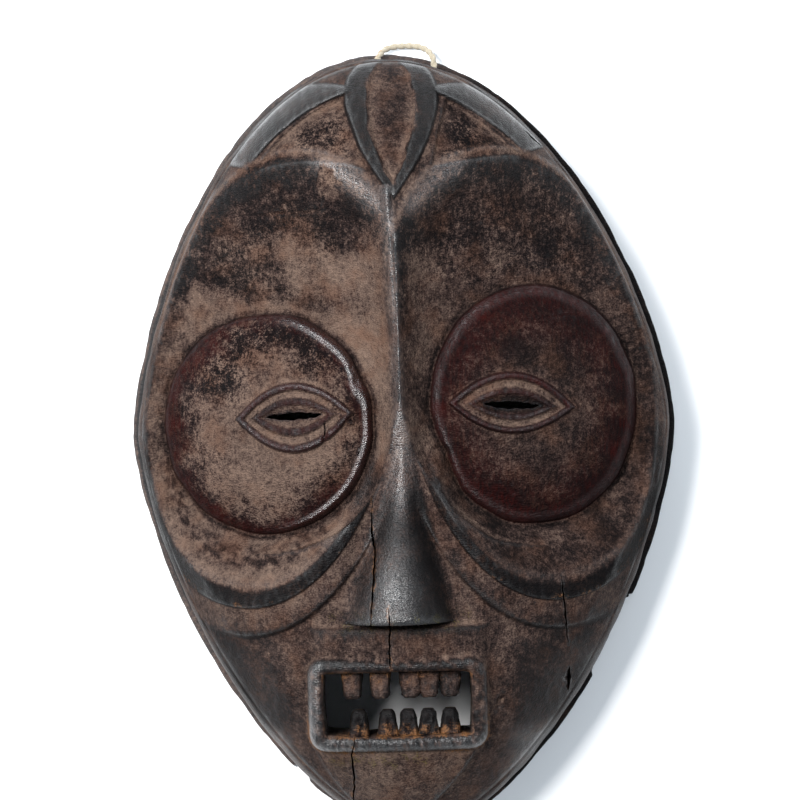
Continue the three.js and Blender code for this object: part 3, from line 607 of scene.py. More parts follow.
# Distance inside the edge of the tongue-shaped chin panel
def chin_depth(x, y):
    run = clamp((CHIN_PANEL["top"] + 4 - y) / (CHIN_PANEL["length"] + 4)) * 0.96
    half = CHIN_PANEL["half"] * (1 - run ** 1.4) ** 0.8
    tongue = half - np.abs(x - CHIN_PANEL["x"] - CHIN_PANEL["lean"] * run)
    return np.minimum(tongue, CHIN_PANEL["top"] + 4 - y)


# Lip panel, chin panel and the mouth's raised frame, which is hacked along its lower bar
def lower_face(plan, z):
    x, y = plan.x, plan.y
    panel = np.minimum(0.3 * (LIP_PANEL["half"] - np.abs(x - LIP_PANEL["x"])), LIP_PANEL["top"] - y)
    panel = np.minimum(panel, y - LIP_PANEL["bottom"])
    z = raise_pad(z, plan.face, LIP_PANEL["rise"], panel)
    z = raise_pad(z, plan.face, CHIN_PANEL["rise"], chin_depth(x, y))
    distance = mouth_distance(x, y)
    across = (distance + 0.5) / (LIP["width"] + 0.5)
    lip = mouth_level(plan) + LIP["rise"] * np.sqrt(clamp(1 - (1.9 * across - 0.95) ** 2, 0.02))
    lip = lip - 12 * smoothstep(LIP["width"] - 0.2, LIP["width"] + 1.6, distance)
    lower = smoothstep(-11, -16, y - MOUTH["y"])
    splinters = 0.9 * near(x, -31, 2.2) + 0.7 * near(x, 12, 1.8)
    hacked = 0.5 * np.abs(mottle(x * 2.6, y * 0.8)) + splinters
    lip = lip - mix(0.25 * np.abs(mottle(x * 1.6, y * 1.6)), hacked, lower)
    return np.where(distance < LIP["width"] + 2, np.maximum(z, lip), z)


# Distance inside a disc's edge, which is chipped on the left disc and worn back on the right one
def disc_inside(disc, x, y):
    inside = (1 - disc_ring(disc, x, y)) * disc["a"] + 0.3 * edge_wander(x, y)
    if disc["side"] < 0:
        for loss in (DISC_NOTCH, DISC_NICK):
            half_x, half_y = loss["half"]
            inside = inside - loss["reach"] * near(x, loss["x"], half_x) * near(y, loss["y"], half_y)
        return inside
    reach = np.hypot((x - DISC_WEAR["x"]) * 1.2, (y - DISC_WEAR["y"]) * 0.55)
    ragged = 1 + 0.25 * mottle(x * 1.4, y * 1.4)
    return inside - DISC_WEAR["reach"] * near(reach, 0, DISC_WEAR["size"]) * ragged


# Share of the way to a disc's right edge
def disc_right_side(disc, x):
    return smoothstep(-0.15, 0.6, (x - disc["x"]) / disc["a"])


# A domed disc with a rounded lip, standing in a shallow moat
def eye(disc, lid, x, y, z):
    inside = disc_inside(disc, x, y)
    dome = disc_z(disc, x, y)
    top = dome - DISC_ROUNDING * round_off(1 - clamp(inside / DISC_LIP))
    bead = DISC_BEAD["left"] * disc_right_side(disc, x) if disc["side"] < 0 else DISC_BEAD["right"]
    top = top + bead * near(inside, DISC_LIP * 0.5, DISC_LIP * 0.32)
    edge_top = dome - DISC_ROUNDING * 0.8
    moat = edge_top - DISC_STEP + 1.3 * np.maximum(-inside - 1.0, 0)
    z = np.where(inside > -9, soft_min(z, moat, 1.2), z)
    wall = np.where(inside < 0, edge_top + DISC_WALL_SLOPE * inside, top)
    z = np.where(inside > -6, soft_max(z, wall, 0.5), z)
    return eye_lid(lid, disc, x, y, z)


# Lids: an outer roll, a flat groove and an inner roll beside the slit
def eye_lid(lid, disc, x, y, z):
    v = almond_ring(lid, x, y)
    base = LID_BASE * (1 - smoothstep(0.92, 1.04, v))
    outer, inner = (roll["rise"] * hump(v, roll["ring"], roll["half"]) for roll in (OUTER_ROLL, INNER_ROLL))
    if disc["side"] < 0:
        broken = smoothstep(2.0, 0.4, np.abs(x - LID_BREAK_X)) * (y < 13.5)
        outer = outer * (1 - broken)
        barb = near(x + y * 0.9, -13.5, 2.6) * within(y, 12.2, 13.6, 18.0, 19.5)
        outer = np.maximum(outer, 0.5 * barb * (x > -35))
    slope = 0.3 * smoothstep(0.3, 0.1, v)
    return z + LID_RISE * (base + np.maximum(outer, inner) - slope * (v < 0.3))


# Gouges and long scratches: start, end, width and depth in millimetres
SCRATCHES = [
    ((-68.2, 113.8), (-50.0, 114.9), 1.6, 0.9),
    ((-52.0, 113.6), (-34.6, 115.8), 1.3, 0.7),
    ((-70.0, 106.0), (-38.0, 108.5), 0.8, 0.4),
    ((69.6, 61.6), (87.2, 62.6), 1.0, 0.5),
    ((38.7, -8.1), (61.0, -30.2), 0.9, 0.45),
    ((24.0, 104.0), (46.0, 111.0), 0.9, 0.5),
    ((30.0, 97.0), (52.0, 106.0), 0.8, 0.4),
    ((22.0, 86.0), (40.0, 97.0), 0.8, 0.4),
    ((55.0, 84.0), (84.0, 88.0), 0.8, 0.4),
    ((40.2, -122.1), (43.4, -118.0), 2.2, 2.4),
    ((-62.0, 70.0), (-84.0, 52.0), 0.9, 0.4),
    ((-98.0, 88.0), (-72.0, 101.0), 1.0, 0.5),
]


def line_distance(x, y, start, end):
    dx, dy = end[0] - start[0], end[1] - start[1]
    along = clamp(((x - start[0]) * dx + (y - start[1]) * dy) / (dx * dx + dy * dy))
    return np.hypot(x - start[0] - along * dx, y - start[1] - along * dy), along


# Faint rings that the tool left in the dishes, above and below the discs
def dish_rings(plan):
    x, y = plan.x, plan.y
    total = np.zeros(x.shape)
    for socket, disc in zip(SOCKETS, DISCS):
        ring = disc_ring(disc, x, y)
        _, reach = socket_dish(socket, x, y)
        away = (ring - 1) * disc["a"] + 0.8 * edge_wander(x, y)
        lines = np.cos(away * 2 * math.pi / DISH_RINGS["spacing"])
        lines = lines * near(away, DISH_RINGS["off"], DISH_RINGS["width"])
        total = total + DISH_RINGS["height"] * lines * (ring > 1) * (reach < 0.95)
    return total


# Tool marks, wear and damage in the carved surface
def surface_marks(plan, z):
    x, y = plan.x, plan.y
    calm = 1 - 0.7 * near(x, ridge_x(y), 9)
    marks = MARKS["swell"] * swell(x, y) + MARKS["tool"] * tool_marks(x, y)
    z = z + (marks + MARKS["fine"] * fine_marks(x, y)) * calm + dish_rings(plan)
    wander_x, wander_y = 0.5 * fine_marks(x, y), 0.5 * fine_marks(y, x)
    for start, end, width, depth in SCRATCHES:
        away, along = line_distance(x + wander_x, y + wander_y, start, end)
        z = z - depth * near(away, 0, width / 2) * np.sin(math.pi * clamp(along, 0.05, 0.95)) ** 0.4
    return brow_chip(x, y, z)


# A splinter is gone from the brow: ragged sides, a sloping floor and a deep upper corner
def chip_inside(x, y):
    across = (x - BROW_CHIP["x"]) + 0.12 * (y - BROW_CHIP["y"])
    half_x, half_y = BROW_CHIP["half"]
    side = half_x - np.abs(across) + 1.1 * mottle(x * 1.5, y * 1.5)
    end = half_y - np.abs(y - BROW_CHIP["y"]) - 0.45 * np.abs(across) + 1.2 * mottle(y, x)
    return np.minimum(side, end)


def brow_chip(x, y, z):
    floor_z = BROW_CHIP["z"] + 0.16 * (y - BROW_CHIP["y"]) + 0.35 * fine_marks(x * 1.8, y * 1.8)
    corner = np.hypot(x - BROW_CHIP["x"] + 2.7, y - BROW_CHIP["y"] - 4.0)
    floor_z = floor_z - BROW_CHIP["pit"] * near(corner, 0, 3.0)
    return mix(z, np.minimum(z, floor_z), smoothstep(-0.4, 0.7, chip_inside(x, y)))


# A mesh object from points and an array of four-cornered faces, which is quicker than a list
def grid_object(name, points, quads, triangles=()):
    triangles = np.asarray(triangles, dtype=np.int32).reshape(-1, 3)
    quads = np.asarray(quads, dtype=np.int32).reshape(-1, 4)
    mesh = bpy.data.meshes.new(name)
    mesh.vertices.add(len(points))
    mesh.vertices.foreach_set("co", (np.asarray(points) * MM).astype(np.float32).ravel())
    corners = np.concatenate([quads.ravel(), triangles.ravel()])
    sizes = np.concatenate([np.full(len(quads), 4), np.full(len(triangles), 3)])
    mesh.loops.add(len(corners))
    mesh.loops.foreach_set("vertex_index", corners.astype(np.int32))
    mesh.polygons.add(len(sizes))
    mesh.polygons.foreach_set("loop_start", np.concatenate([[0], np.cumsum(sizes)[:-1]]).astype(np.int32))
    mesh.update(calc_edges=True)
    mesh.validate()
    made = bpy.data.objects.new(name, mesh)
    bpy.context.scene.collection.objects.link(made)
    return made


# Quads between two rows of point numbers, round a closed loop
def loop_quads(first, second):
    return np.stack([first, np.roll(first, -1), np.roll(second, -1), second], axis=1)


def stacked(x, y, z):
    return np.stack(np.broadcast_arrays(x, y, z), axis=-1)


# A closed body from rows of points round it, fanned shut to a point at either end
def ring_body(name, rows, ends, flipped=False):
    count = len(rows[0])
    rings = [np.arange(count) + count * row for row in range(len(rows))]
    quads = np.concatenate([loop_quads(low, high) for low, high in zip(rings, rings[1:])])
    start, end = (np.full(count, count * len(rows) + number) for number in (0, 1))
    fans = [(np.roll(rings[0], -1), rings[0], start), (rings[-1], np.roll(rings[-1], -1), end)]
    caps = np.concatenate([np.stack(fan, axis=1) for fan in fans])
    if flipped:
        quads, caps = quads[:, ::-1], caps[:, ::-1]
    return grid_object(name, np.concatenate([*rows, ends]), quads, caps)


# Replace an object's mesh by the result of its modifiers
def bake_modifiers(made):
    graph = bpy.context.evaluated_depsgraph_get()
    mesh = bpy.data.meshes.new_from_object(made.evaluated_get(graph))
    old = made.data
    made.modifiers.clear()
    made.data = mesh
    bpy.data.meshes.remove(old)


def combine(made, other, operation):
    modifier = made.modifiers.new("combine", "BOOLEAN")
    modifier.solver = "MANIFOLD"
    modifier.operation = operation
    modifier.object = other
    bake_modifiers(made)
    bpy.data.objects.remove(other)


def triangle_count(made):
    return sum(len(face.vertices) - 2 for face in made.data.polygons)


# Plan of the face: a square grid bent into the outline, so that its cells are all about as large
def face_plan(size):
    a, b = np.meshgrid(np.linspace(-1, 1, size), np.linspace(-1, 1, size))
    wide = np.abs(a) > np.abs(b)
    safe_a = np.where(a == 0, 1e-12, a)
    safe_b = np.where(b == 0, 1e-12, b)
    radius = np.where(wide, a, b)
    heading = np.where(wide, math.pi / 4 * b / safe_a, math.pi / 2 - math.pi / 4 * a / safe_b)
    u = radius * np.cos(heading)
    v = radius * np.sin(heading)
    ring = np.hypot(u, v)
    turn = np.arctan2(v, u)
    rim_x, rim_y = rim_point(turn)
    edge_x, edge_y = rim_point(turn, edge_inset(rim_x, rim_y))
    x = edge_x * ring
    y = WIDEST_Y + (edge_y - WIDEST_Y) * ring
    return x, crowd_rows(x, y), turn


# Draw the grid's rows together under the nose, where the surface drops
def crowd_rows(x, y):
    offset = y - NOSE_BASE_Y
    under_nose = 1 - smoothstep(NOSE_HALF_BASE, NOSE_HALF_BASE + 6, np.abs(x - ridge_x(y)))
    return y - 0.9 * offset * near(offset, 0, 4) * under_nose


# The flank's profile from the edge of the face down to the floor: inset and height at every turn
def flank_rows(turn, rows):
    rim = rim_point(turn)
    wall_top = FLANGE_PROUD + WALL_BATTER
    band_foot = WALL_TOP + GROOVE_DEPTH
    top = np.array([edge_inset(*rim), edge_z(*rim)])
    foot = np.array([[wall_top], [band_foot]])
    lower = [
        (wall_top + GROOVE_DEPTH, band_foot - 0.2),
        (wall_top, WALL_TOP - 1.0),
        (mix(FLANGE_PROUD, wall_top, 0.5), mix(FLANGE_HEIGHT, WALL_TOP, 0.5)),
        (FLANGE_PROUD, FLANGE_HEIGHT + FLANGE_BEVEL),
        (FLANGE_BEVEL, FLANGE_HEIGHT),
        (0.0, FLANGE_HEIGHT - FLANGE_BEVEL),
        (0.0, 0.6),
        (0.5, 0.0),
    ]
    profile = [mix(foot, top, np.array(shares)[:, None]) for shares in SHOULDER]
    profile += [np.broadcast_to(np.array(place)[:, None], top.shape) for place in lower]
    profile = np.array(profile)
    steps = np.hypot(*np.diff(profile[:, :, 0], axis=0).T)
    length = np.concatenate([[0], np.cumsum(steps)])
    station = np.interp(np.linspace(0, length[-1], rows), length, np.arange(len(length)))
    low = np.minimum(station.astype(int), len(length) - 2)
    fine = mix(profile[low], profile[low + 1], (station - low)[:, None, None])
    for _ in range(2):
        fine[1:-1] = (fine[:-2] + 2 * fine[1:-1] + fine[2:]) / 4
    return fine[:, 0], fine[:, 1]


def flank_wear(turn, x, y, inset, z):
    flange = 1 - smoothstep(FLANGE_HEIGHT, FLANGE_HEIGHT + 2, z)
    along = turn * 150
    marks = FLANK_MARKS["swell"] * swell(x, y, z) + FLANK_MARKS["tool"] * tool_marks(along, z)
    inset = inset + marks * smoothstep(0, 3, z) * (1 - flange)
    lost = 0.35 * np.maximum(edge_wander(along, 0), 0) + 0.2 * np.maximum(mottle(along, 0), 0)
    degrees = np.degrees(turn) + 0.25 * fine_marks(along, z * 2)
    for loss in FLANGE_LOSSES:
        gone = within(degrees, loss["to"] - 0.5, loss["to"] + 0.5, loss["from"] - 0.5, loss["from"] + 0.5)
        lost = lost + gone * (loss["reach"] + 0.4 * mottle(along, z))
    return inset + flange * lost


# The outer skin of the mask, closed by a flat underside
def outer_body():
    x, y, turn = face_plan(FACE_GRID)
    numbers = np.arange(x.size).reshape(x.shape)
    rim = np.concatenate([numbers[0, :-1], numbers[:-1, -1], numbers[-1, :0:-1], numbers[:0:-1, 0]])
    corners = [numbers[:-1, :-1], numbers[:-1, 1:], numbers[1:, 1:], numbers[1:, :-1]]
    quads = [np.stack(corners, axis=-1).reshape(-1, 4)]
    points = [stacked(x, y, carved_face(Plan(x, y))).reshape(-1, 3)]
    rim_turn = turn.ravel()[rim]
    points[0][rim, 2] = edge_z(*rim_point(rim_turn))
    inset, height = flank_rows(rim_turn, FLANK_ROWS)
    previous = rim
    for row in range(1, FLANK_ROWS):
        worn = flank_wear(rim_turn, *rim_point(rim_turn), inset[row], height[row])
        points.append(stacked(*rim_point(rim_turn, np.maximum(worn, 0)), height[row]))
        current = x.size + len(rim) * (row - 1) + np.arange(len(rim))
        quads.append(loop_quads(current, previous))
        previous = current
    points.append([[0, WIDEST_Y, 0]])
    centre = np.full(len(rim), x.size + len(rim) * (FLANK_ROWS - 1))
    fan = np.stack([centre, np.roll(previous, -1), previous], axis=1)
    body = grid_object("carved_mask", np.concatenate(points), np.concatenate(quads), fan)
    modifier = body.modifiers.new("thin", "DECIMATE")
    modifier.ratio = MASK_TRIANGLES / triangle_count(body)
    bake_modifiers(body)
    return body


# The hollow behind the face, dressed with an adze
def hollow_body():
    turns, roof_rings = ((240, 60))
    turn = np.linspace(-math.pi, math.pi, turns, endpoint=False)
    rows = []
    for inset, z in HOLLOW_WALL:
        dressed = 0.5 * adze(turn * 120, z * 1.5) if z > 0 else 0
        rows.append(stacked(*rim_point(turn, RIM_WIDTH + inset + dressed), z))
    edge_x, edge_y = rim_point(turn, RIM_WIDTH + HOLLOW_ROOF_INSET)
    for keep in np.linspace(0.985, 0.0, roof_rings, endpoint=False):
        x = edge_x * keep
        y = WIDEST_Y + (edge_y - WIDEST_Y) * keep
        rows.append(stacked(x, y, hollow_roof(x, y, keep)))
    top = hollow_roof(np.zeros(1), np.full(1, WIDEST_Y), 0.0)[0]
    return ring_body("hollow", rows, [(0, WIDEST_Y, HOLLOW_WALL[0][1]), (0, WIDEST_Y, top)])


# The hollow's roof: a dome, kept a wall's thickness below the face and its sockets
def hollow_roof(x, y, keep):
    plan = Plan(x, y)
    cut = plan.face
    for socket in SOCKETS:
        cut = soft_min(cut, socket_dish(socket, x, y)[0], 4)
    dome = mix(HOLLOW_SHOULDER_Z, HOLLOW_TOP_Z, (1 - keep ** 2) ** 0.62)
    marks = ADZE_MARKS * np.abs(adze(x, y)) * smoothstep(1, 0.9, keep)
    return soft_min(dome, cut - WALL, 3) - marks


def overhead_camera():
    camera = bpy.data.cameras.new("camera")
    camera.sensor_width = SENSOR
    camera.lens = SENSOR * CAMERA_HEIGHT / FRAME_WIDTH
    made = bpy.data.objects.new("camera", camera)
    made.location = (FRAME_CENTRE[0] * MM, FRAME_CENTRE[1] * MM, CAMERA_HEIGHT * MM)
    made.rotation_euler = (0, 0, -math.radians(ROLL_ANGLE))
    bpy.context.scene.collection.objects.link(made)
    bpy.context.scene.camera = made


overhead_camera()


# Softboxes aimed at the mask: place and sides in metres, power in watts and tint
COOL = (0.90, 0.95, 1.0)
SOFTBOXES = {
    "key_softbox": ((-0.57, 0.34, 1.60), (0.40, 0.40), 48, (1.0, 0.98, 0.96)),
    "left_softbox": ((-1.00, 0.75, 1.15), (0.5, 0.5), 16, COOL),
    "right_softbox": ((0.95, 0.55, 1.25), (0.3, 0.5), 9, COOL),
    "crown_softbox": ((0.1, 1.45, 1.0), (1.7, 0.35), 12, COOL),
}
AIM = (0, 0, 0.05)
SKY = {"colour": (0.80, 0.90, 1.0, 1), "strength": 0.50}


def area_light(name, place, size, power, tint):
    light = bpy.data.lights.new(name, "AREA")
    light.shape = "RECTANGLE"
    light.size, light.size_y = size
    light.energy = power
    light.color = tint
    made = bpy.data.objects.new(name, light)
    made.location = place
    made.rotation_euler = (Vector(AIM) - Vector(place)).to_track_quat("-Z", "Y").to_euler()
    bpy.context.scene.collection.objects.link(made)


for softbox, softbox_setup in SOFTBOXES.items():
    area_light(softbox, *softbox_setup)
world = bpy.data.worlds.new("studio")
bpy.context.scene.world = world
world.use_nodes = True
world.node_tree.nodes["Background"].inputs["Color"].default_value = SKY["colour"]
world.node_tree.nodes["Background"].inputs["Strength"].default_value = SKY["strength"]
bpy.context.scene.view_settings.view_transform = "Standard"


# Materials are made with this small helper: a node, its settings and its inputs by name
class Nodes:
    def __init__(self, name):
        self.material = bpy.data.materials.new(name)
        self.material.use_nodes = True
        self.tree = self.material.node_tree
        self.shader = self.tree.nodes["Principled BSDF"]

    def set(self, node, name, value):
        socket = node.inputs[name]
        if isinstance(value, bpy.types.NodeSocket):
            self.tree.links.new(value, socket)
        elif isinstance(value, tuple) and len(value) == 3 and socket.type == "RGBA":
            socket.default_value = (*value, 1)
        else:
            socket.default_value = value

    def add(self, kind, settings=None, **inputs):
        node = self.tree.nodes.new("ShaderNode" + kind)
        for name, value in (settings or {}).items():
            setattr(node, name, value)
        for name, value in inputs.items():
            self.set(node, name.replace("_", " "), value)
        return node

    def attribute(self, name):
        return self.add("Attribute", {"attribute_name": name}).outputs["Fac"]

    def math(self, operation, *values, clamped=False):
        node = self.add("Math", {"operation": operation, "use_clamp": clamped})
        for socket, value in enumerate(values):
            self.set(node, socket, value)
        return node.outputs[0]

    # A start value plus each of some values times its weight, clamped to 0 to 1 at each step if wanted
    def sum(self, start, *terms, clamped=False):
        for value, weight in terms:
            start = self.math("MULTIPLY_ADD", value, weight, start, clamped=clamped)
        return start

    def mix(self, share, a, b):
        node = self.tree.nodes.new("ShaderNodeMix")
        node.data_type = "RGBA"
        for socket, value in ((0, share), (6, a), (7, b)):
            self.set(node, socket, value)
        return node.outputs[2]

    def ramp(self, value, low, high, to_low=0.0, to_high=1.0):
        node = self.add(
            "MapRange", {"interpolation_type": "SMOOTHSTEP"},
            Value=value, From_Min=low, From_Max=high, To_Min=to_low, To_Max=to_high,
        )
        return node.outputs["Result"]

    def blend_ramp(self, value, stops):
        node = self.add("ValToRGB", Fac=value)
        elements = node.color_ramp.elements
        while len(elements) < len(stops):
            elements.new(1.0)
        for element, (place, colour) in zip(elements, stops):
            element.position = place
            element.color = (*colour, 1)
        return node.outputs["Color"]

    def coordinates(self, stretch=(1, 1, 1)):
        texture = self.add("TexCoord")
        mapping = self.add("Mapping", Scale=stretch)
        self.tree.links.new(texture.outputs["Object"], mapping.inputs["Vector"])
        return mapping.outputs["Vector"]

    def noise(self, vector, scale, detail=3.0, roughness=0.55):
        node = self.add("TexNoise", Vector=vector, Scale=scale, Detail=detail, Roughness=roughness)
        return node.outputs["Fac"]


BLACK_WOOD = (0.0022, 0.0017, 0.0019)
DARK_BROWN = (0.0085, 0.0058, 0.0054)
MID_BROWN = (0.031, 0.0195, 0.0166)
DUST = (0.072, 0.0485, 0.0385)
PALE_DUST = (0.125, 0.084, 0.064)
WARM_TINT = (0.078, 0.035, 0.020)
RED_WOOD = (0.0190, 0.0020, 0.0016)
OCHRE = (0.135, 0.062, 0.026)
RAW_WOOD = (0.050, 0.031, 0.0195)
LICHEN = (0.060, 0.050, 0.009)
WOOD_TONES = [(0.0, BLACK_WOOD), (0.32, DARK_BROWN), (0.52, MID_BROWN), (0.72, DUST), (1.0, PALE_DUST)]
PALE_TWINE = (0.40, 0.36, 0.28)
SHADED_TWINE = (0.22, 0.18, 0.12)
STAINED_TWINE = (0.24, 0.13, 0.05)
FLOOR_TONES = ((0.86, 0.87, 0.88), (0.88, 0.89, 0.90))


def wood_material():
    n = Nodes("carved_wood")
    space = n.coordinates()
    crust = n.noise(space, 420, 4, 0.6)
    grit = n.noise(space, 1300, 2, 0.6)
    cloud = n.noise(space, 75, 4, 0.62)
    grain = n.noise(n.coordinates((1, 0.12, 1)), 1000, 4, 0.7)
    fibre = n.noise(n.coordinates((0.3, 1, 1)), 1500, 2, 0.5)
    texture = n.sum(-0.70, (crust, 0.42), (grit, 0.40), (cloud, 0.36), (grain, 0.22))
    spread = n.sum(1.9, (n.attribute("flaky"), 5.0))
    # The dust share, with the painted highlights and painted shade laid into it, picks the wood's tone
    dust_and_painted_light = n.sum(n.attribute("dust_and_painted_light"), (texture, spread), clamped=True)
    colour = n.blend_ramp(dust_and_painted_light, WOOD_TONES)
    warm = n.math("MULTIPLY", n.ramp(n.noise(space, 60, 3), 0.45, 0.72, 0.0, 0.55), dust_and_painted_light)
    colour = n.mix(warm, colour, WARM_TINT)
    streaks = n.sum(0.0, (grain, 0.6), (cloud, 0.4))
    red = n.math("MULTIPLY", n.attribute("red"), n.ramp(streaks, 0.42, 0.58, 0.30, 1.0))
    colour = n.mix(red, colour, RED_WOOD)
    ochre = n.sum(n.attribute("ochre"), (texture, 2.4), clamped=True)
    ochre = n.math("MULTIPLY", n.ramp(ochre, 0.25, 0.8), n.ramp(n.attribute("ochre"), 0.02, 0.15))
    colour = n.mix(ochre, colour, OCHRE)
    raw_tone = n.mix(n.ramp(grain, 0.3, 0.7), MID_BROWN, RAW_WOOD)
    colour = n.mix(n.attribute("raw"), colour, raw_tone)
    lichen = n.math("MULTIPLY", n.attribute("lichen"), n.ramp(grit, 0.48, 0.62))
    colour = n.mix(lichen, colour, LICHEN)
    n.set(n.shader, "Base Color", colour)
    polish = n.attribute("polish")
    n.set(n.shader, "Roughness", n.sum(0.80, (polish, -0.52), (texture, 0.6), clamped=True))
    n.set(n.shader, "Specular IOR Level", n.sum(0.03, (n.math("POWER", polish, 2.5), 0.80)))
    height = n.sum(0.0, (grain, 0.4), (crust, 0.7), (grit, 0.5), (fibre, 0.7))
    bump = n.add("Bump", Distance=0.0014, Height=height, Strength=n.sum(1.0, (polish, -0.50)))
    n.set(n.shader, "Normal", bump.outputs["Normal"])
    return n.material


def twine_material():
    n = Nodes("twine")
    space = n.coordinates()
    fibre = n.noise(space, 2600, 3, 0.7)
    stain = n.noise(space, 160, 3, 0.6)
    colour = n.mix(n.ramp(fibre, 0.3, 0.7), SHADED_TWINE, PALE_TWINE)
    colour = n.mix(n.ramp(stain, 0.56, 0.74), colour, STAINED_TWINE)
    n.set(n.shader, "Base Color", colour)
    n.shader.inputs["Roughness"].default_value = 0.95
    n.shader.inputs["Sheen Weight"].default_value = 0.3
    bump = n.add("Bump", Strength=0.6, Distance=0.0004, Height=fibre)
    n.set(n.shader, "Normal", bump.outputs["Normal"])
    return n.material


def floor_material():
    n = Nodes("pale_floor")
    space = n.coordinates()
    tone = n.ramp(n.noise(space, 6, 3), 0.3, 0.7)
    n.set(n.shader, "Base Color", n.mix(tone, *FLOOR_TONES))
    n.shader.inputs["Roughness"].default_value = 0.7
    return n.material


# Where the crown's wall ends inside, seen from above
def inner_wall_y(x):
    y = np.arange(CROWN_Y, CROWN_Y - 60, -0.1)
    plan = Plan(np.full(y.shape, x), y)
    inside = plan.scale <= 1 - RIM_WIDTH / np.hypot(x, y - WIDEST_Y)
    return float(y[np.argmax(inside)])


def knot_centre_y(x):
    return inner_wall_y(x) - KNOT["radius"] - KNOT["clearance"]


# A smooth line through some points, with some steps from each one to the next
def catmull_rom(points, steps):
    points = np.array(points)
    ends = np.concatenate([[2 * points[0] - points[1]], points, [2 * points[-1] - points[-2]]])
    line = []
    for p0, p1, p2, p3 in zip(ends, ends[1:], ends[2:], ends[3:]):
        knots = [0.0]
        for a, b in ((p0, p1), (p1, p2), (p2, p3)):
            knots.append(knots[-1] + math.sqrt(np.linalg.norm(b - a)))
        for t in np.linspace(knots[1], knots[2], steps, endpoint=False):
            level = (p0, p1, p2, p3)
            for spans in (((0, 1), (1, 2), (2, 3)), ((0, 2), (1, 3)), ((1, 2),)):
                shares = [(t - knots[i]) / (knots[j] - knots[i]) for i, j in spans]
                level = [mix(a, b, share) for a, b, share in zip(level, level[1:], shares)]
            line.append(level[0])
    line.append(points[-1])
    return np.array(line)


# The twine's route from knot to knot, which its solid follows
def twine_route():
    z, reach, rest_z = TWINE["z"], TWINE["reach"], TWINE["rest_z"]
    left, right = HOLE["left"], HOLE["right"]
    middle = (left + right) / 2
    start = {x: knot_centre_y(x) + KNOT["radius"] * KNOT["flatness"] + GAP for x in (left, right)}
    return catmull_rom([
        (left, start[left], z),
        (left, CROWN_Y - 9, z),
        (left + 0.8, CROWN_Y - 2.5, z - 0.8),
        (middle - 9, reach - 1.4, rest_z + 1.9),
        (middle, reach, rest_z),
        (middle + 9, reach - 1.4, rest_z + 1.9),
        (right - 0.8, CROWN_Y - 2.5, z - 0.8),
        (right, CROWN_Y - 9, z),
        (right, start[right], z),
    ], 14)


# A tube along a line. Its section gives the radii over the angles at a distance along the line.
def tube_object(name, line, sides, section):
    tangents = np.gradient(line, axis=0)
    tangents /= np.linalg.norm(tangents, axis=1)[:, None]
    side = np.cross(tangents[0], (0.1, 0.2, 1.0))
    points = []
    travelled = np.concatenate([[0], np.cumsum(np.linalg.norm(np.diff(line, axis=0), axis=1))])
    angles = np.linspace(0, 2 * math.pi, sides, endpoint=False)
    for place, tangent, distance in zip(line, tangents, travelled):
        side = side - tangent * np.dot(side, tangent)
        side = side / np.linalg.norm(side)
        up = np.cross(tangent, side)
        radii = section(angles, distance)
        points.append(place + np.outer(radii * np.cos(angles), side) + np.outer(radii * np.sin(angles), up))
    made = ring_body(name, points, (line[0], line[-1]))
    made.data.shade_smooth()
    return made


# Section of two plies side by side, turning along the twine
def two_ply(angles, distance):
    turned = angles - 2 * math.pi * distance / TWIST_PITCH
    lobes = np.abs(np.cos(turned))
    return TWINE["diameter"] / 2 * (0.62 + 0.38 * lobes ** 0.8)


def hanging_twine(material):
    route = twine_route()
    dense = np.repeat(route, 2, axis=0)[:-1]
    dense[1::2] = (route[:-1] + route[1:]) / 2
    twine = tube_object("twine_loop", dense, 20, two_ply)
    twine.data.materials.append(material)
    ends = (("knot_left", HOLE["left"]), ("knot_right", HOLE["right"]))
    knots = [overhand_knot(name, x, material) for name, x in ends]
    length = np.linalg.norm(np.diff(route, axis=0), axis=1).sum()
    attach(twine, "root")
    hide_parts("hanging_cord")


# An overhand knot: one strand wound as a trefoil inside the ball that its solid is
def overhand_knot(name, x, material):
    t = np.linspace(0, 2 * math.pi, 73)[:-3]
    strand = TWINE["diameter"] / 2 * KNOT["strand"]
    reach = (KNOT["radius"] - strand) / 3.0
    line = np.stack([
        reach * (np.sin(t) + 2 * np.sin(2 * t)),
        -reach * np.sin(3 * t) * 0.9,
        reach * (np.cos(t) - 2 * np.cos(2 * t)),
    ], axis=1)
    line = line + np.array([x, knot_centre_y(x), TWINE["z"]])

    def thinner_ply(angles, distance):
        return KNOT["strand"] * two_ply(angles, distance)

    knot = tube_object("tied_" + name, line, 14, thinner_ply)
    knot.data.materials.append(material)
    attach(knot, "root")
    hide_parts(name)
    return knot


hanging_twine(twine_material())


# A thin almond cutter through each eye
def slit_cutter(lid):
    turns = 40
    t = np.linspace(0, 2 * math.pi, turns, endpoint=False)
    turn = math.radians(lid["turn"])
    along = SLIT_HALF * np.cos(t)
    away = SLIT_WIDTH / 2 * np.sign(np.sin(t)) * np.abs(np.sin(t)) ** 1.3
    x = lid["x"] + along * math.cos(turn) - away * math.sin(turn)
    y = lid["y"] + along * math.sin(turn) + away * math.cos(turn) + 0.25 * fine_marks(along, away)
    return prism("slit", x, y)


def prism(name, x, y):
    rows = [stacked(x, y, z) for z in (CUT_FROM_Z, CUT_TO_Z)]
    return ring_body(name, rows, [row.mean(axis=0) for row in rows])


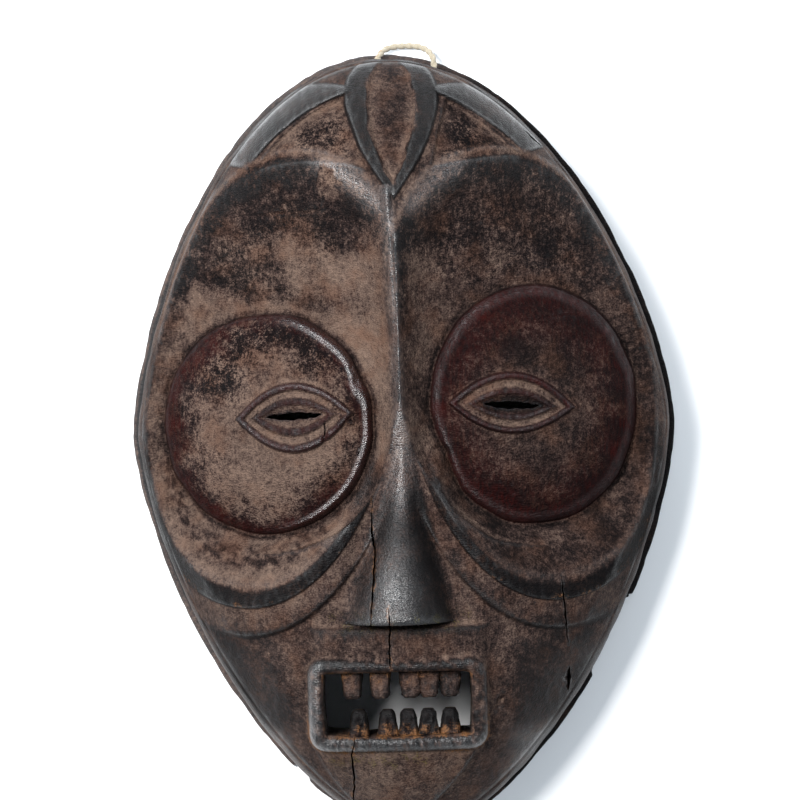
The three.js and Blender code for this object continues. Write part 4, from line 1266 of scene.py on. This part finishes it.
def mouth_cutter():
    t = np.linspace(0, 2 * math.pi, 120, endpoint=False)
    half_x = MOUTH["half_x"] - MOUTH["corner"]
    half_y = MOUTH["half_y"] - MOUTH["corner"]
    flat = np.maximum(np.abs(np.cos(t)), np.abs(np.sin(t)))
    x = MOUTH["x"] + clamp(np.cos(t) / flat * 1.25, -1, 1) * half_x + MOUTH["corner"] * np.cos(t)
    y = MOUTH["y"] + clamp(np.sin(t) / flat * 1.25, -1, 1) * half_y + MOUTH["corner"] * np.sin(t)
    y = y + 0.3 * fine_marks(x, y)
    return prism("mouth", x, y)


# A peg tooth, rooted in the lip and rounded at its tip
def tooth(x, side, length):
    root = MOUTH["y"] + side * (MOUTH["half_y"] + 3)
    tip = MOUTH["y"] + side * (MOUTH["half_y"] - length)
    level = float(mouth_level(Plan([x], [root]))[0]) - TOOTH["depth"]
    tip_width = TOOTH["upper_tip"] if side > 0 else TOOTH["lower_tip"]
    sides, steps = 20, 12
    angle = np.linspace(0, 2 * math.pi, sides, endpoint=False)
    rows = []
    for t in np.linspace(0, 1, steps):
        rounding = math.sqrt(max(1 - clamp((t - 0.84) / 0.16) ** 2 * 0.96, 0))
        half_x = mix(TOOTH["root"], tip_width, t) / 2 * mix(0.62, 1, rounding)
        half_z = TOOTH["thickness"] / 2 * mix(0.75, 1, rounding)
        shape = (np.abs(np.cos(angle)) ** 4 + np.abs(np.sin(angle)) ** 4) ** (-1 / 4)
        px = x + half_x * shape * np.cos(angle)
        pz = level - TOOTH["thickness"] / 2 - 1.2 * t ** 2 + half_z * shape * np.sin(angle)
        py = mix(root, tip, t)
        wobble = 0.22 * fine_marks(px * 1.6, py * 1.6, pz)
        rows.append(stacked(px + wobble, py, pz + wobble))
    return ring_body("tooth", rows, (rows[0].mean(axis=0), rows[-1].mean(axis=0)), flipped=side < 0)


# A bore through the crown's wall for the twine
def string_hole(x):
    angle = np.linspace(0, 2 * math.pi, 24, endpoint=False)
    px = x + HOLE["diameter"] / 2 * np.cos(angle)
    pz = TWINE["z"] + HOLE["diameter"] / 2 * np.sin(angle)
    places = [CROWN_Y - RIM_WIDTH + side * HOLE["half_length"] for side in (-1, 1)]
    rows = [stacked(px, y, pz) for y in places]
    return ring_body("hole", rows, [(x, y, TWINE["z"]) for y in places], flipped=True)


# Drying cracks: points of the line, width at the surface and depth
CRACKS = [
    ([(-16.0, -22.6), (-16.4, -36.7), (-15.3, -50.6), (-17.2, -69.0), (-18.0, -82.5)], 0.9, 7.0),
    ([(-9.4, -72.2), (-9.3, -84.9), (-10.0, -93.4), (-9.3, -103.5)], 0.8, 6.0),
    ([(-27.2, -133.0), (-28.9, -144.9), (-28.3, -154.8), (-29.1, -164.9), (-29.8, -173.0)], 0.8, 6.0),
    ([(72.3, -60.0), (73.6, -73.9), (74.4, -83.7), (75.6, -96.0)], 0.8, 5.0),
    ([(75.8, -106.0), (76.1, -111.5), (75.1, -118.4)], 2.0, 5.0),
    ([(61.5, 153.0), (67.5, 147.0), (71.5, 144.0)], 0.8, 4.0),
    ([(-37.6, 14.6), (-37.2, 11.0), (-38.4, 6.5)], 0.8, 3.0),
    ([(-21.0, 0.4), (-22.8, -2.2)], 0.6, 3.0),
]


# A thin wedge along a crack, wide above the surface and sharp at its bottom
def crack_cutter(points, width, depth):
    line = catmull_rom(points, 8)
    line[:, 0] += 0.25 * fine_marks(line[:, 0] * 2, line[:, 1] * 2)
    direction = np.gradient(line, axis=0)
    direction /= np.linalg.norm(direction, axis=1)[:, None]
    share = np.linspace(0, 1, len(line))
    ragged = 1 + 0.3 * mottle(line[:, 0] * 3, line[:, 1] * 3)
    half = 0.95 * width * (0.15 + np.sin(math.pi * share) ** 0.5 * ragged)
    side = np.stack([-direction[:, 1], direction[:, 0]], axis=1) * half[:, None]
    level = carved_face(Plan(*line.T))
    bottom = level - depth * np.sin(math.pi * clamp(share, 0.06, 0.94)) ** 0.5
    edges = [(line + side, level + CRACK_LIFT), (line - side, level + CRACK_LIFT), (line, bottom)]
    rows = np.stack([np.column_stack(edge) for edge in edges], axis=1)
    return ring_body("crack", rows, (rows[0].mean(axis=0), rows[-1].mean(axis=0)))


# Shares of dust, polish, colour and bare wood over the finished surface. The dust share also carries
# painted highlights and painted shade.
def paint_masks(made):
    mesh = made.data
    co = vertex_values(mesh, "co") / MM
    normal = vertex_values(mesh, "normal")
    for name, values in surface_masks(co, normal, cavity_of(mesh, co, normal)).items():
        layer = mesh.attributes.new(name, "FLOAT", "POINT")
        layer.data.foreach_set("value", clamp(values).astype(np.float32))


def vertex_values(mesh, name):
    values = np.empty(len(mesh.vertices) * 3, dtype=np.float32)
    mesh.vertices.foreach_get(name, values)
    return values.reshape(-1, 3).astype(float)


# How far each point lies below its surroundings, in millimetres
def cavity_of(mesh, co, normal, rounds=6):
    edges = np.empty(len(mesh.edges) * 2, dtype=np.int32)
    mesh.edges.foreach_get("vertices", edges)
    a, b = edges.reshape(-1, 2).T
    degree = np.bincount(a, minlength=len(co)) + np.bincount(b, minlength=len(co))
    smooth = co.copy()
    for _ in range(rounds):
        total = np.stack([
            np.bincount(a, smooth[b, axis], len(co)) + np.bincount(b, smooth[a, axis], len(co))
            for axis in range(3)
        ], axis=1)
        smooth = (smooth + total / degree[:, None]) / 2
    return ((smooth - co) * normal).sum(axis=1)


# The coats on the wood, each a share from 0 to 1 at every point. The dust share holds painted highlights
# and painted shade as well as dust.
class Coats:
    def __init__(self, count, dust_and_painted_light, polish):
        self.dust_and_painted_light = np.full(count, dust_and_painted_light)
        self.polish = np.full(count, polish)
        for name in ("red", "ochre", "raw", "lichen", "flaky"):
            setattr(self, name, np.zeros(count))

    def lay(self, where, dust_and_painted_light, polish):
        where = clamp(where)
        self.dust_and_painted_light = mix(self.dust_and_painted_light, dust_and_painted_light, where)
        self.polish = mix(self.polish, polish, where)

    def stain(self, name, share):
        setattr(self, name, np.maximum(getattr(self, name), clamp(share)))


# Paint that differs from side to side, -1 being the left: shares of dust or of polish, and pairs of both.
# First the dish and the folds of a socket, then an eye's disc, then its lip, lids and outer roll.
PAINT = {
    -1: {
        "low": 0.76, "high": 0.42, "outer": 0.06, "foot": 0.0, "slope": 0.36, "by_nose": 0.95,
        "terrace": 0.60, "centre": 0.78, "top": 0.06, "edge": 0.30, "red": 0.3, "flaky": 0.35,
        "lip": (0.34, 1.0), "lids": 0.68, "roll": (0.22, 0.5),
    },
    1: {
        "low": 0.52, "high": 0.34, "outer": 0.20, "foot": 0.08, "slope": 0.22, "by_nose": 0.6,
        "terrace": 0.46, "centre": 0.43, "top": 0.14, "edge": 0.04, "red": 1.0, "flaky": 0.2,
        "lip": (0.10, 0.75), "lids": 0.26, "roll": (0.12, 0.3),
    },
}


def surface_masks(co, normal, cavity):
    x, y, z = co.T
    plan = Plan(x, y)
    coats = Coats(len(x), 0.56 + 0.06 * patches(x, y), 0.22)
    paint_forehead(coats, plan)
    paint_sockets(coats, plan)
    paint_eyes(coats, x, y)
    paint_nose(coats, x, y)
    paint_mouth(coats, x, y, z)
    worn = smoothstep(0.04, 0.32, -cavity)
    coats.polish = coats.polish + 0.35 * worn
    coats.dust_and_painted_light = coats.dust_and_painted_light - 0.16 * worn + 0.2 * smoothstep(0.05, 0.4, cavity)
    paint_flank(coats, plan, z)
    behind = smoothstep(3, 7, carved_face(plan) - z) * (plan.scale < 1)
    coats.stain("raw", behind * smoothstep(0.3, -0.5, normal[:, 2]))
    coats.dust_and_painted_light = coats.dust_and_painted_light * (1 - behind)
    return vars(coats)


# Forehead: dusty sunk fields and hollow, and a leaf and crescents worn black
def paint_forehead(coats, plan):
    x, y = plan.x, plan.y
    above = smoothstep(118, 134, y)
    coats.lay(above, 0.50 + 0.06 * mottle(x, y), 0.25)
    for field, centre in zip(TRIANGLES, (0.52, 0.34)):
        depth = triangle_depth(field, x, y) + 1.6 * mottle(x, y)
        field_tone = mix(centre + 0.16, centre - 0.04, smoothstep(2, 9, depth))
        coats.lay(smoothstep(-1.5, 0.5, depth), field_tone, 0.12)
        coats.stain("flaky", 0.45 * smoothstep(3, 8, depth))
    on_face = smoothstep(-3, -0.5, plan.room)
    for crescent in CRESCENTS:
        inside, _ = crescent_depth(crescent, x, y)
        tone = mix(0.10, 0.26, smoothstep(2, 9, inside))
        coats.lay(on_face * smoothstep(-0.8, 0.4, inside), tone, 0.56)
    leaf = leaf_depth(LEAF, x, y)
    coats.lay(smoothstep(-1, 1, leaf), 0.08 + 0.06 * mottle(x, y), 0.46)
    inner = leaf_depth(LEAF_HOLLOW, x, y) + 0.8 * mottle(x, y)
    coats.lay(smoothstep(-0.6, 0.6, inner), mix(0.62, 0.42, smoothstep(2, 7, inner)), 0.15)


def paint_sockets(coats, plan):
    x, y = plan.x, plan.y
    below = smoothstep(20, -20, y)
    brow = smoothstep(50, 90, y)
    for socket in SOCKETS:
        paint = PAINT[socket["side"]]
        _, ring = socket_dish(socket, x, y)
        distance, angle = socket_polar(socket, x, y)
        outline_ring = distance / socket_radius(socket, angle)
        weight = fold_weight(ROLL, socket, angle)
        inward = -socket["side"] * (x - socket["x"])
        paint_dish(coats, paint, x, y, ring, inward)
        paint_folds(coats, paint, x, y, outline_ring, weight * below)
        by_nose = smoothstep(26, 44, inward) * smoothstep(30, 0, y) * smoothstep(0, 0.3, weight)
        coats.lay(by_nose * near(outline_ring, 0.93, 0.03), 0.30, paint["by_nose"])
        terrace = within(outline_ring, 1.0, 1.03, 1.10, 1.14)
        coats.lay(weight * below * terrace, paint["terrace"], 0.2)
        # Painted shade, partly on dark wood: a dark band on the outer fold's edge, whose riser faces away
        # from the light
        fold_edge_and_shade = near(outline_ring, 1.145, 0.02) * smoothstep(46, 22, inward)
        coats.lay(weight * below * fold_edge_and_shade, 0.25, 0.3)
        # Painted shade, partly on worn black wood: a dark band just inside the brow's border, where the
        # surface falls steeply into the socket
        ragged = ring + 0.02 * mottle(x, y)
        brow_band_and_shade = smoothstep(0.86, 0.94, ragged) * smoothstep(1.03, 1.0, ring)
        coats.lay(brow * brow_band_and_shade, 0.16, 0.42)
        coats.stain("flaky", 0.35 * brow * brow_band_and_shade)
        # Partly dust, partly painted highlight: a pale line along the raised border on the brow
        coats.lay(brow * near(ring, 1.04, 0.018), 0.74, 0.3)
        # Painted highlight: pale dust with full polish on the crest where the two brows meet the nose ridge
        middle = smoothstep(42, 26, np.abs(x + 4)) * near(ring, 0.99, 0.05) * smoothstep(105, 118, y)
        coats.lay(middle, 0.60, 1.0)


# The dish: dusty below, darker towards the brow
def paint_dish(coats, paint, x, y, ring, inward):
    inside = 1 - smoothstep(0.97, 1.03, ring)
    black_top = smoothstep(66, 98, y - 0.3 * inward + 8 * patches(x, y) + 5 * mottle(x, y))
    tone = mix(paint["low"], paint["high"], black_top) + 0.05 * smoothstep(30, 52, inward) * (1 - black_top)
    tone = tone - paint["outer"] * smoothstep(-36, -56, inward) - paint["foot"] * smoothstep(-10, -30, y)
    coats.lay(inside, tone + 0.07 * patches(y, x), mix(0.10, 0.22, black_top))
    high = inside * black_top * smoothstep(50, 90, y)
    coats.stain("flaky", 0.26 * high * smoothstep(1.0, 0.7, ring))


# The folds below a socket: streaks in the channel, a dusty crease and a slope painted near black, partly
# worn dark wood and partly painted shade on the slope that faces away from the light
def paint_folds(coats, paint, x, y, outline_ring, below):
    streaks = near(outline_ring, 0.80 + 0.01 * mottle(x, y), 0.05) * (0.6 + 0.6 * mottle(x * 2, y * 2))
    coats.lay(below * streaks, 0.34, 0.2)
    coats.lay(below * near(outline_ring, 0.905, 0.022), paint["low"] - 0.02, 0.4)
    # Painted shade, partly on worn dark wood: the roll's outer slope, which faces away from the light,
    # painted near black
    coats.lay(below * within(outline_ring, 0.925, 0.945, 1.0, 1.03), 0.03, paint["slope"])
    rim = near(outline_ring, 1.0, 0.018) * smoothstep(-0.2, 0.6, mottle(x, y))
    coats.stain("ochre", 0.3 * below * rim)


# Discs: dusty in the middle and dark red towards the edge, with dark rolls on the lids
def paint_eyes(coats, x, y):
    for disc, lid in zip(DISCS, LIDS):
        left = disc["side"] < 0
        paint = PAINT[disc["side"]]
        inside_edge = disc_inside(disc, x, y)
        ring = disc_ring(disc, x, y)
        inside = smoothstep(-1.2, 0.2, inside_edge)
        rough_ring = ring + 0.05 * patches(x, y) + 0.035 * mottle(x, y)
        out = smoothstep(0.64, 0.98, rough_ring)
        centre = paint["centre"] - paint["top"] * smoothstep(22, 56, y)
        coats.lay(inside, mix(centre, paint["edge"], out), mix(0.10, 0.16, out))
        if left:
            corner = near(np.hypot(x - disc["x"] + 24, y - disc["y"] - 27), 0, 15)
            coats.lay(inside * corner * 1.4, 0.36, 0.3)
            coats.stain("flaky", 0.9 * inside * corner)
            top_band = inside * near(rough_ring, 0.80, 0.20) * smoothstep(12, 30, y - disc["y"])
            coats.lay(top_band, 0.30, 0.2)
            coats.stain("flaky", 0.8 * top_band)
        coats.stain("red", inside * smoothstep(0.78, 0.95, rough_ring) * 0.9)
        coats.stain("red", inside * 0.5 * smoothstep(0.35, 0.8, ring) * paint["red"])
        coats.stain("flaky", inside * near(rough_ring, 0.8, 0.2) * paint["flaky"])
        lip = within(inside_edge, -0.6, 0.3, DISC_LIP * 0.9, DISC_LIP * 1.3)
        coats.lay(lip * (disc_right_side(disc, x) if left else 0.5), *paint["lip"])
        coats.lay(near(inside_edge, -1.6, 1.2), 0.25, 0.1)
        v = almond_ring(lid, x, y)
        coats.lay(1 - smoothstep(1.0, 1.06, v), paint["lids"], 0.15)
        coats.lay(near(v, 0.90, 0.10), *paint["roll"])
        coats.stain("red", near(v, 0.90, 0.11))
        coats.lay(near(v, 0.44, 0.10), 0.30, 0.4)
        if not left:
            coats.lay(near(v, 0.74, 0.08) + near(v, 0.56, 0.07), 0.66, 0.15)
        coats.stain("red", 0.7 * near(v, 0.42, 0.1))


# Nose: dusty on its left side and polished on its tip. Its right side is painted black, partly as painted
# shade on the side turned from the light. Its ridge and bridge are polished and painted pale as a painted
# highlight.
def paint_nose(coats, x, y):
    away = (x - ridge_x(y)) / (nose_half(y) + 1.5)
    nose = smoothstep(1.15, 0.8, np.abs(away)) * smoothstep(8, -25, y) * (y > NOSE_BASE_Y - 1)
    # Painted shade: the right side of the nose, turned away from the light, is painted near black
    right = smoothstep(-0.35, 0.5, away)
    left_side = smoothstep(-0.3, -0.9, away)
    tone = mix(mix(0.20, 0.04, right), 0.38, left_side)
    coats.lay(nose, tone + 0.05 * mottle(x, y), mix(0.6, 0.4, right))
    tip = near(np.hypot(x - ridge_x(y) + 5, (y + 66) * 0.6), 0, 13)
    coats.lay(tip * (y > NOSE_BASE_Y - 1), 0.24, 0.92)
    # Painted highlight: pale dust with full polish along the ridge's crest and over the bridge
    crest = near(x - ridge_x(y) + 0.5, 0, 3.2) * (y < RIDGE_TOP_Y + 4) * smoothstep(-40, -10, y)
    coats.lay(crest, 0.50, 1.0)
    bridge_highlight = near(np.hypot(x - ridge_x(y), (y + 8) * 0.35), 0, 6)
    coats.lay(bridge_highlight, 0.50, 1.0)


def paint_mouth(coats, x, y, z):
    mouth = mouth_distance(x, y)
    paint_cheeks(coats, x, y, mouth)
    paint_frame(coats, x, y, z, mouth)
    for points, _, _ in CRACKS[:3]:
        for start, end in zip(points, points[1:]):
            away, _ = line_distance(x, y, start, end)
            coats.stain("ochre", 0.5 * near(away, 0, 1.3) * smoothstep(-0.6, 0.5, mottle(x * 2, y * 2)))
    chin = smoothstep(-2, 3, CHIN_PANEL["top"] - y) * smoothstep(0.5, 3, chin_depth(x, y))
    coats.lay(chin, 0.62 + 0.06 * patches(x, y), 0.18)
    speck = 0.8 * smoothstep(0.1, 0.9, mottle(x * 1.5, y * 1.5))
    coats.stain("lichen", near(y, NOSE_BASE_Y + 1, 3.5) * speck * (np.abs(x + 5) < 34))
    coats.stain("lichen", near(y, CHIN_PANEL["top"] - 6, 5) * speck * (np.abs(x + 18) < 24))


# The cheeks beside the mouth, the jaw beside the chin panel and the lip panel
def paint_cheeks(coats, x, y, mouth):
    cheek = smoothstep(-84, -98, y + 5 * mottle(x, y)) * smoothstep(48, 60, np.abs(x + 5))
    coats.lay(cheek, 0.27 + 0.10 * patches(x, y), 0.34)
    chin = chin_depth(x, y)
    beside = smoothstep(10, 22, mouth) * smoothstep(-128, -140, y) * smoothstep(1, -2, chin)
    coats.lay(beside, 0.34 + 0.08 * mottle(x, y), 0.6)
    coats.lay(near(chin, -0.6, 1.8) * smoothstep(-132, -142, y), 0.10, 0.2)
    below_nose = (y < NOSE_BASE_Y - 2) & (mouth > LIP["width"])
    coats.lay(below_nose * smoothstep(62, 40, np.abs(x + 6)), 0.50, 0.2)


# The mouth's frame, dusty inside, with ochre at the roots of the teeth and round the lower edge
def paint_frame(coats, x, y, z, mouth):
    off_x, off_y = x - MOUTH["x"], y - MOUTH["y"]
    frame = smoothstep(LIP["width"] + 1, LIP["width"] - 1, mouth)
    coats.lay(frame, 0.40 + 0.2 * mottle(x * 2, y * 2), mix(0.36, 0.84, smoothstep(-34, -38, off_x)))
    coats.lay(frame * smoothstep(-12, -17, off_y), 0.24 + 0.2 * mottle(x * 2.4, y), 0.56)
    in_frame = (mouth < 0.6) & (z > 60)
    coats.lay(in_frame, 0.62 + 0.1 * mottle(x * 2, y * 2), 0.15)
    root = smoothstep(9, 1, MOUTH["half_y"] - np.abs(off_y)) * mix(0.3, 0.42, smoothstep(-4, -9, off_y))
    coats.stain("ochre", in_frame * root * (1 + 0.6 * mottle(x * 1.6, y * 1.6)))
    edge = near(mouth, LIP["width"] + 0.6, 1.2) * smoothstep(2, -14, off_y)
    edge = edge * smoothstep(0.1, 0.9, np.abs(off_x) / 40 + 0.3 * mottle(x, y))
    coats.stain("ochre", 0.6 * edge)


# Flank and flange, and the dusty floor of the chip in the brow. The flange carries painted light on the
# left and painted shadow on the right.
def paint_flank(coats, plan, z):
    flank = smoothstep(-1, -5, plan.room)
    crown = smoothstep(90, 150, plan.y)
    right = smoothstep(0, 60, plan.x)
    coats.lay(flank, mix(mix(0.50, 0.42, right), 0.60, crown), mix(0.55, 0.20, crown))
    # Painted light and painted shadow: the flange pale on its lit left side and near black on the right,
    # where the mask's shadow falls
    flange = 1 - smoothstep(FLANGE_HEIGHT, FLANGE_HEIGHT + 3, z)
    coats.lay(flange, mix(0.52, 0.12, right), mix(0.7, 0.3, right))
    chip = chip_inside(plan.x, plan.y)
    coats.lay(smoothstep(0, 0.8, chip), 0.60 + 0.1 * mottle(plan.x, plan.y), 0.1)


def carved_mask(material):
    body = outer_body()
    combine(body, hollow_body(), "DIFFERENCE")
    cutters = [mouth_cutter()] + [slit_cutter(lid) for lid in LIDS]
    cutters += [string_hole(HOLE["left"]), string_hole(HOLE["right"])]
    cutters += [crack_cutter(*crack) for crack in CRACKS]
    for cutter in cutters:
        combine(body, cutter, "DIFFERENCE")
    teeth = [tooth(x, 1, TOOTH["length"]) for x in UPPER_TEETH]
    teeth += [tooth(x, -1, TOOTH["length"] - 1) for x in LOWER_TEETH]
    for peg in teeth:
        combine(body, peg, "UNION")
    body.data.shade_smooth()
    body.data.set_sharp_from_angle(angle=math.radians(SHARP_DEGREES))
    paint_masks(body)
    body.data.materials.clear()
    body.data.materials.append(material)
    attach(body, "root")
    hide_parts("mask")


carved_mask(wood_material())


def floor():
    corners = [(FLOOR_HALF * a, FLOOR_HALF * b, 0) for a, b in ((-1, -1), (1, -1), (1, 1), (-1, 1))]
    made = grid_object("floor", corners, [(0, 1, 2, 3)])
    made.data.materials.append(floor_material())


floor()
